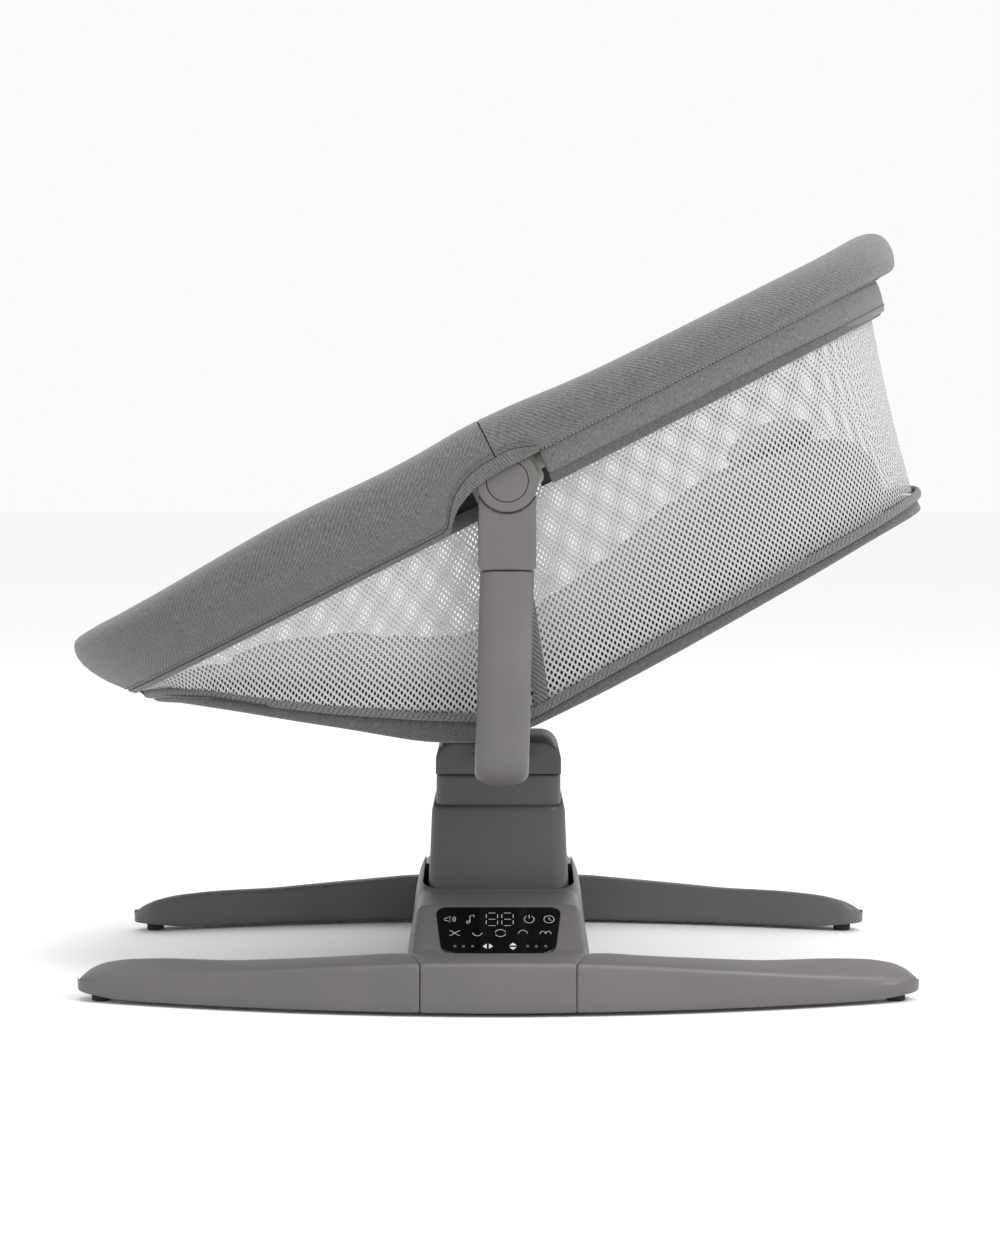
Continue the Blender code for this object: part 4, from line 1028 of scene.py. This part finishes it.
def mesh_panel(name, end, first, last, node_name):
    """A panel of air mesh with real holes: a diamond lattice, inset cell by cell, opened, and laid
    on the wall. first and last are shares of the way round the end, from -Y to +Y."""
    rows = wall_table(end)
    rows = rows[int(first * 2 * WALL_STEPS):int(last * 2 * WALL_STEPS) + 1]
    run = lengths(rows[:, 0] * 0.55 + rows[:, 1] * 0.45)
    depth = np.linalg.norm(rows[:, 0] - rows[:, 1], axis=1)
    width, tall = run[-1], depth.max()
    pitch_x, pitch_y = MESH_PITCH
    count_x, count_y = int(width / pitch_x) + 1, int(tall / pitch_y) + 1
    cells = count_x + count_y + 2
    deselect()
    bpy.ops.mesh.primitive_grid_add(x_subdivisions=cells, y_subdivisions=cells, size=2)
    obj = bpy.context.object
    obj.name = obj.data.name = name
    mesh = obj.data
    co = np.empty(len(mesh.vertices) * 3, np.float32)
    mesh.vertices.foreach_get("co", co)
    co = co.reshape(-1, 3)
    p, q = (co[:, 0] + 1) / 2 * cells, (co[:, 1] + 1) / 2 * cells
    flat = np.zeros_like(co)
    flat[:, 0] = (p + q - count_y) / 2 * pitch_x
    flat[:, 1] = (p - q + count_y) / 2 * pitch_y
    mesh.vertices.foreach_set("co", flat.reshape(-1))
    bm = bmesh.new()
    bm.from_mesh(mesh)
    outside = []
    for face in bm.faces:
        middle = face.calc_center_median()
        limit = np.interp(middle.x, run, depth)
        if not (0.5 < middle.x < width - 0.5 and -0.5 < middle.y < limit - 0.5):
            outside.append(face)
    bmesh.ops.delete(bm, geom=outside, context="FACES")
    bm.to_mesh(mesh)
    bm.free()
    select_only(obj)
    bpy.ops.object.mode_set(mode="EDIT")
    bpy.ops.mesh.select_mode(type="FACE")
    bpy.ops.mesh.select_all(action="SELECT")
    bpy.ops.mesh.inset(thickness=1.12, use_individual=True, use_even_offset=False)
    bpy.ops.mesh.bevel(offset=0.9, segments=1, affect="VERTICES")
    bpy.ops.object.mode_set(mode="OBJECT")
    bm = bmesh.new()
    bm.from_mesh(mesh)
    holes = [f for f in bm.faces if len(f.verts) == 8]
    bmesh.ops.delete(bm, geom=holes, context="FACES")
    uv = bm.loops.layers.uv.verify()
    for face in bm.faces:
        for loop in face.loops:
            loop[uv].uv = (loop.vert.co.x * MM, loop.vert.co.y * MM)
    index = np.arange(len(rows))
    for vertex in bm.verts:
        spot = np.interp(min(max(vertex.co.x, 0), width), run, index)
        low = int(min(spot, len(rows) - 2))
        share = spot - low
        pair = rows[low] * (1 - share) + rows[low + 1] * share
        reach = np.linalg.norm(pair[1] - pair[0])
        t = min(max(vertex.co.y / reach, 0.0), 1.0)
        sag = 2.2 * math.sin(math.pi * t)
        point = pair[0] * (1 - t) + pair[1] * t
        inward = Vector((point[0] * 0.35, point[1], 0)).normalized()
        vertex.co = (Vector(point) - inward * sag) * MM
    bm.to_mesh(mesh)
    bm.free()
    obj.data.transform(BASKET)
    mesh.shade_smooth()
    give(obj, "air_mesh", "basket", node_name, slot="air_mesh")


def mesh_walls():
    """Three mesh panels, and the ribbed tape over the seam where they meet."""
    mesh_panel("head_mesh", 1, 0.0, 1.0, "mesh_wall_head")
    mesh_panel("foot_mesh_front", -1, 0.0, 0.47, "mesh_wall_foot_front")
    mesh_panel("foot_mesh_rear", -1, 0.53, 1.0, "mesh_wall_foot_rear")
    for side, row in ROWS:
        rings = []
        for k in range(25):
            t = k / 24
            x = SEAM_TOP + (SEAM_LOW - SEAM_TOP) * t ** 1.15 + 1.0
            y = RIM_HALF + 10.5 + (FLOOR_HALF - RIM_HALF - 9.0) * t
            z = HEM + 1 + (-203 - HEM) * t
            half = 4.5 + 3.0 * t
            rings.append([(x - half, side * (y + 0.2), z), (x - half * 0.5, side * (y + 1.5), z),
                          (x + half * 0.5, side * (y + 1.5), z), (x + half, side * (y + 0.2), z),
                          (x + half, side * (y - 1.2), z), (x - half, side * (y - 1.2), z)])
        sewn(f"mesh_seam_tape_{row}", rings, "tape", angle=50)


# ---------------------------------------------------------------- basket: floor and pads
def floor_half(x, grow):
    """Half the floor's width at x, with its outline grown."""
    wide = at(FLOOR_WIDE, x) + grow
    reach = (FLOOR_HEAD if x > 0 else FLOOR_FOOT) + grow
    share = min(abs(x) / reach, 1.0)
    return wide * (1 - share ** 3.4) ** (1 / 3.4)


def floor_tape():
    """The taped edge all round the floor: an upright oval, 5 mm outside the board."""
    loop, count, grow = [], 160, 5.0
    for k in range(count):
        x, y = squircle(1.0, 1.0, 2 * math.pi * k / count, FLOOR_SQUARE)
        x *= (FLOOR_HEAD if x > 0 else FLOOR_FOOT) + grow
        loop.append((x, (at(FLOOR_WIDE, x) + grow) * y, at(FLOOR_LINE, x)))
    rings = []
    for i, (x, y, z) in enumerate(loop):
        ahead = Vector(loop[(i + 1) % count]) - Vector(loop[i - 1])
        out = Vector((ahead.y, -ahead.x, 0)).normalized()
        oval = [squircle(2.6, 4.4, math.radians(36 * k), 2.0) for k in range(10)]
        rings.append([(x + out.x * n, y + out.y * n, z + w) for n, w in oval])
    sewn("floor_edge_tape", rings, "tape", "floor_piping", loop=True)


def foot_linings():
    """Lining that closes the foot end, from the cover's hem to the tape and on to the board."""
    rows = wall_table(-1)
    hem_side, board_side = [], []
    for (top_x, top_y, _), (x, y, z) in rows[98:143]:
        hem_side.append([(top_x + 2.4, top_y, HEM + 2.5), (x - 6.0, y, z - 2.5),
                         (x - 4.8, y, z - 2.5), (top_x + 3.6, top_y, HEM + 2.5)])
    for _, (x, y, z) in rows[40:201]:
        inner = at(FLOOR_LINE, x + 44)
        board_side.append([(x - 4.0, y * 1.01, z - 2.4), (x + 44, y * 0.88, inner - 1.0),
                           (x + 44, y * 0.88, inner - 2.2), (x - 4.0, y * 1.01, z - 3.6)])
    sewn("foot_end_lining", hem_side, "liner")
    sewn("foot_floor_lining", board_side, "liner")


def under_ring(x):
    """A section of the padded underside at x: sagging between its two edges."""
    half = floor_half(x, 2.0)
    top = at(FLOOR_LINE, x) + 0.5
    low = at(UNDER_LINE, x) + 0.5
    ring = []
    for t, sag in ((-1, 0.06), (-1.004, 0.5), (-0.995, 0.86), (-0.97, 1), (-0.85, 1.03),
                   (-0.5, 1.08), (0, 1.1), (0.5, 1.08), (0.85, 1.03), (0.97, 1), (0.995, 0.86),
                   (1.004, 0.5), (1, 0.06)):
        wave = 0.8 * ripple(x, t * half, 0, 45.0, 11.0) if abs(t) < 1 else 0.0
        ring.append((x, half * t + wave * 0.5, top + (low - top) * sag + wave))
    return ring + [(x, half * t * 0.96, top - 0.4) for t in (0.95, 0.5, 0, -0.5, -0.95)]


def floor_under():
    xs = [-400, -394, -384, -370, -352, -334, -306, -277, -258, -240, -215, -195, -175, -155, -136,
          -118, -100, -86, -70, -50, -20, 28, 80, 130, 180, 230, 281, 305, 322, 335, 343, 347.5]
    under = sewn("floor_underside", [under_ring(x) for x in xs], "under", "floor_cover",
                 subdivide=True)


def slab(x, half, low, high):
    """A pad's section at x before it swells: soft corners and a shallow dish on top."""
    soft = min(half * 0.16, (high - low) * 0.45)
    return [(x, -half, low + soft), (x, -half + soft, low), (x, half - soft, low),
            (x, half, low + soft), (x, half, high - soft), (x, half - soft, high),
            (x, half * 0.45, high - 1), (x, 0, high - 2), (x, -half * 0.45, high - 1),
            (x, -half + soft, high), (x, -half, high - soft)]


SWELL_STEPS = 20


def cloth_swell(obj, pressure, cap, voxel):
    """Swells a pad by cloth simulation under inner pressure, limited to cap metres of movement."""
    mod = obj.modifiers.new("remesh", "REMESH")
    mod.mode, mod.voxel_size = "VOXEL", voxel
    apply_modifiers(obj)
    rest = np.empty(len(obj.data.vertices) * 3, np.float32)
    obj.data.vertices.foreach_get("co", rest)
    cloth = obj.modifiers.new("cloth", "CLOTH")
    cloth.settings.use_pressure = True
    cloth.settings.uniform_pressure_force = pressure
    cloth.settings.effector_weights.gravity = 0.0
    cloth.settings.quality = 5
    cloth.point_cache.frame_start, cloth.point_cache.frame_end = 1, SWELL_STEPS
    for step in range(1, SWELL_STEPS + 1):
        bpy.context.scene.frame_set(step)
    apply_modifiers(obj)
    now = np.empty(len(obj.data.vertices) * 3, np.float32)
    obj.data.vertices.foreach_get("co", now)
    move = (now - rest).reshape(-1, 3)
    size = np.linalg.norm(move, axis=1, keepdims=True)
    move *= np.minimum(1.0, cap / np.maximum(size, 1e-9))
    obj.data.vertices.foreach_set("co", (rest.reshape(-1, 3) + move).reshape(-1))
    bpy.context.scene.frame_set(1)


def uv_from_plan(obj):
    """A UV map in metres from the basket's plan, for pads whose map the remesh removed."""
    mesh = obj.data
    layer = mesh.uv_layers.active or mesh.uv_layers.new(name="UVMap")
    back = BASKET.inverted()
    flat = [back @ v.co for v in mesh.vertices]
    spots = [flat[corner.vertex_index] for corner in mesh.loops]
    values = np.array([(spot.x, spot.y + spot.z * 0.7) for spot in spots], np.float32)
    layer.data.foreach_set("uv", values.reshape(-1))


def finish_pad(pad, node_name):
    pad.data.transform(BASKET)
    uv_from_plan(pad)
    subdivide_once(pad)
    bpy.ops.object.shade_smooth()
    give(pad, "pad", "basket", node_name, slot="pad_cloth")


# quilting seams of the seat pad, in millimetres from the pivot axis
CHANNELS_ACROSS, CHANNELS_ALONG = (-250, -190, -118, -30, 60, 150), (-105, 105)
CHANNEL_DEPTH = 5.0


def seat_pad():
    """The quilted seat pad: swollen, then stitched down along its channels and dished."""
    xs = [-347, -341, -330, -315, -300, -275, -250, -225, -200, -175, -146, -118, -90, -45, 0, 40,
          75, 115, 158, 210, 260, 300, 322, 332]
    rings = []
    for x in xs:
        low = at(FLOOR_LINE, x) + 9.0
        high = max(at(PAD_LINE, x) - 4, low + 12)
        rings.append(slab(x, floor_half(x, -15), low, high))
    pad = skin("quilted_seat_pad", rings)
    subdivide_once(pad)
    cloth_swell(pad, 3.0, 0.006, 0.006)
    for vertex in pad.data.vertices:
        x, y, z = vertex.co / MM
        near_top = ease(40, 8, at(PAD_LINE, x) - z)
        groove = sum(math.exp(-((x - line) / 5.0) ** 2) for line in CHANNELS_ACROSS)
        groove += sum(math.exp(-((y - line) / 5.0) ** 2) for line in CHANNELS_ALONG)
        dish = 9.0 * math.exp(-(y / 95.0) ** 4)
        vertex.co.z -= (CHANNEL_DEPTH * min(groove, 1.0) + dish) * near_top * MM
    finish_pad(pad, "seat_pad")


def head_cushion():
    """The small pillow at the head end."""
    rings = [slab(x, half, -99.0, high) for x, half, high in
             ((208, 88, -82), (216, 112, -74), (232, 120, -70), (250, 122, -69), (268, 120, -70),
              (284, 112, -74), (292, 88, -82))]
    cushion = skin("head_support_cushion", rings)
    subdivide_once(cushion)
    cloth_swell(cushion, 4.0, 0.005, 0.005)
    finish_pad(cushion, "head_cushion")


def pivot_details():
    """The light bracket behind each hub, its tab beside the hub, and the lining behind both."""
    for side, row in ROWS:
        rings = [[(x, side * y, 10 + up) for x, up, _ in rounded(33 + grow, 26 + grow, 9, 0, 5)]
                 for y, grow in ((231, -3), (232, -1), (234, 0), (245.4, 0), (246.8, -1),
                                 (247.3, -3))]
        tab = skin(f"bracket_tab_{row}", [
            [(x, side * (243.6 + dy), w) for dy, w in
             ((0, low), (2.6, low), (3.4, low + 1), (3.4, high - 1), (2.6, high), (0, high))]
            for x, low, high in ((28, -4, 13), (36, -4, 13), (41, -3, 12), (43, -1, 10))],
            in_basket=True, smooth_angle=40)
        give(tab, "bracket", "basket", slot="bracket_plastic")
        bracket = skin(f"rim_bracket_{row}", rings, in_basket=True, smooth_angle=40)
        give(bracket, "bracket", "basket", f"pivot_bracket_{row}", slot="bracket_plastic")
        for label, x0, x1, low, high in (("foot", -92, -34, -19, 16), ("head", 26, 52, -19, 14)):
            rings = []
            for k in range(7):
                x = x0 + (x1 - x0) * k / 6
                rings.append([(x, side * 241.8, low), (x, side * 243.4, low),
                              (x, side * 243.8, high), (x, side * 242.2, high)])
            sewn(f"pivot_liner_{label}_{row}", rings, "liner", angle=40)


# ---------------------------------------------------------------- inner CAD parts keep their shape
def finish_inner_parts():
    """Materials for the CAD parts that keep their own shape."""
    kinds = {
        "steel": ["rock_shaft", "rock_motor", "rocker_frame", "guide_rod_foot", "guide_rod_head",
                  "lift_screw", "rim_tube_foot", "rim_tube_head", "pivot_pin_front",
                  "pivot_pin_rear"] + [f"base_screw_{r}_{e}" for _, r in ROWS for _, e in ENDS],
        "brass": ["sector_gear", "rock_pinion"],
        "shell": ["yoke_beam"],
        "board": ["display_board", "main_board"],
        "inner_plastic": ["base_bottom_cover", "speaker", "power_inlet", "lift_motor",
                          "lift_carriage", "rock_bearing_front", "rock_bearing_rear"],
        "liner": ["floor_board_foot", "floor_board_head"],
    }
    for kind, names in kinds.items():
        for name in names:
            obj = NODES[name]
            obj.data.materials.clear()
            obj.data.materials.append(MATERIALS[kind])


studio()
legs()
housing()
panel_print()
tower()
cap()
arms()
arm_heads()
rim_covers()
binding_and_stitches()
skirt()
covers_seam()
mesh_walls()
hem_bridges()
floor_tape()
foot_linings()
floor_under()
seat_pad()
head_cushion()
pivot_details()
finish_inner_parts()
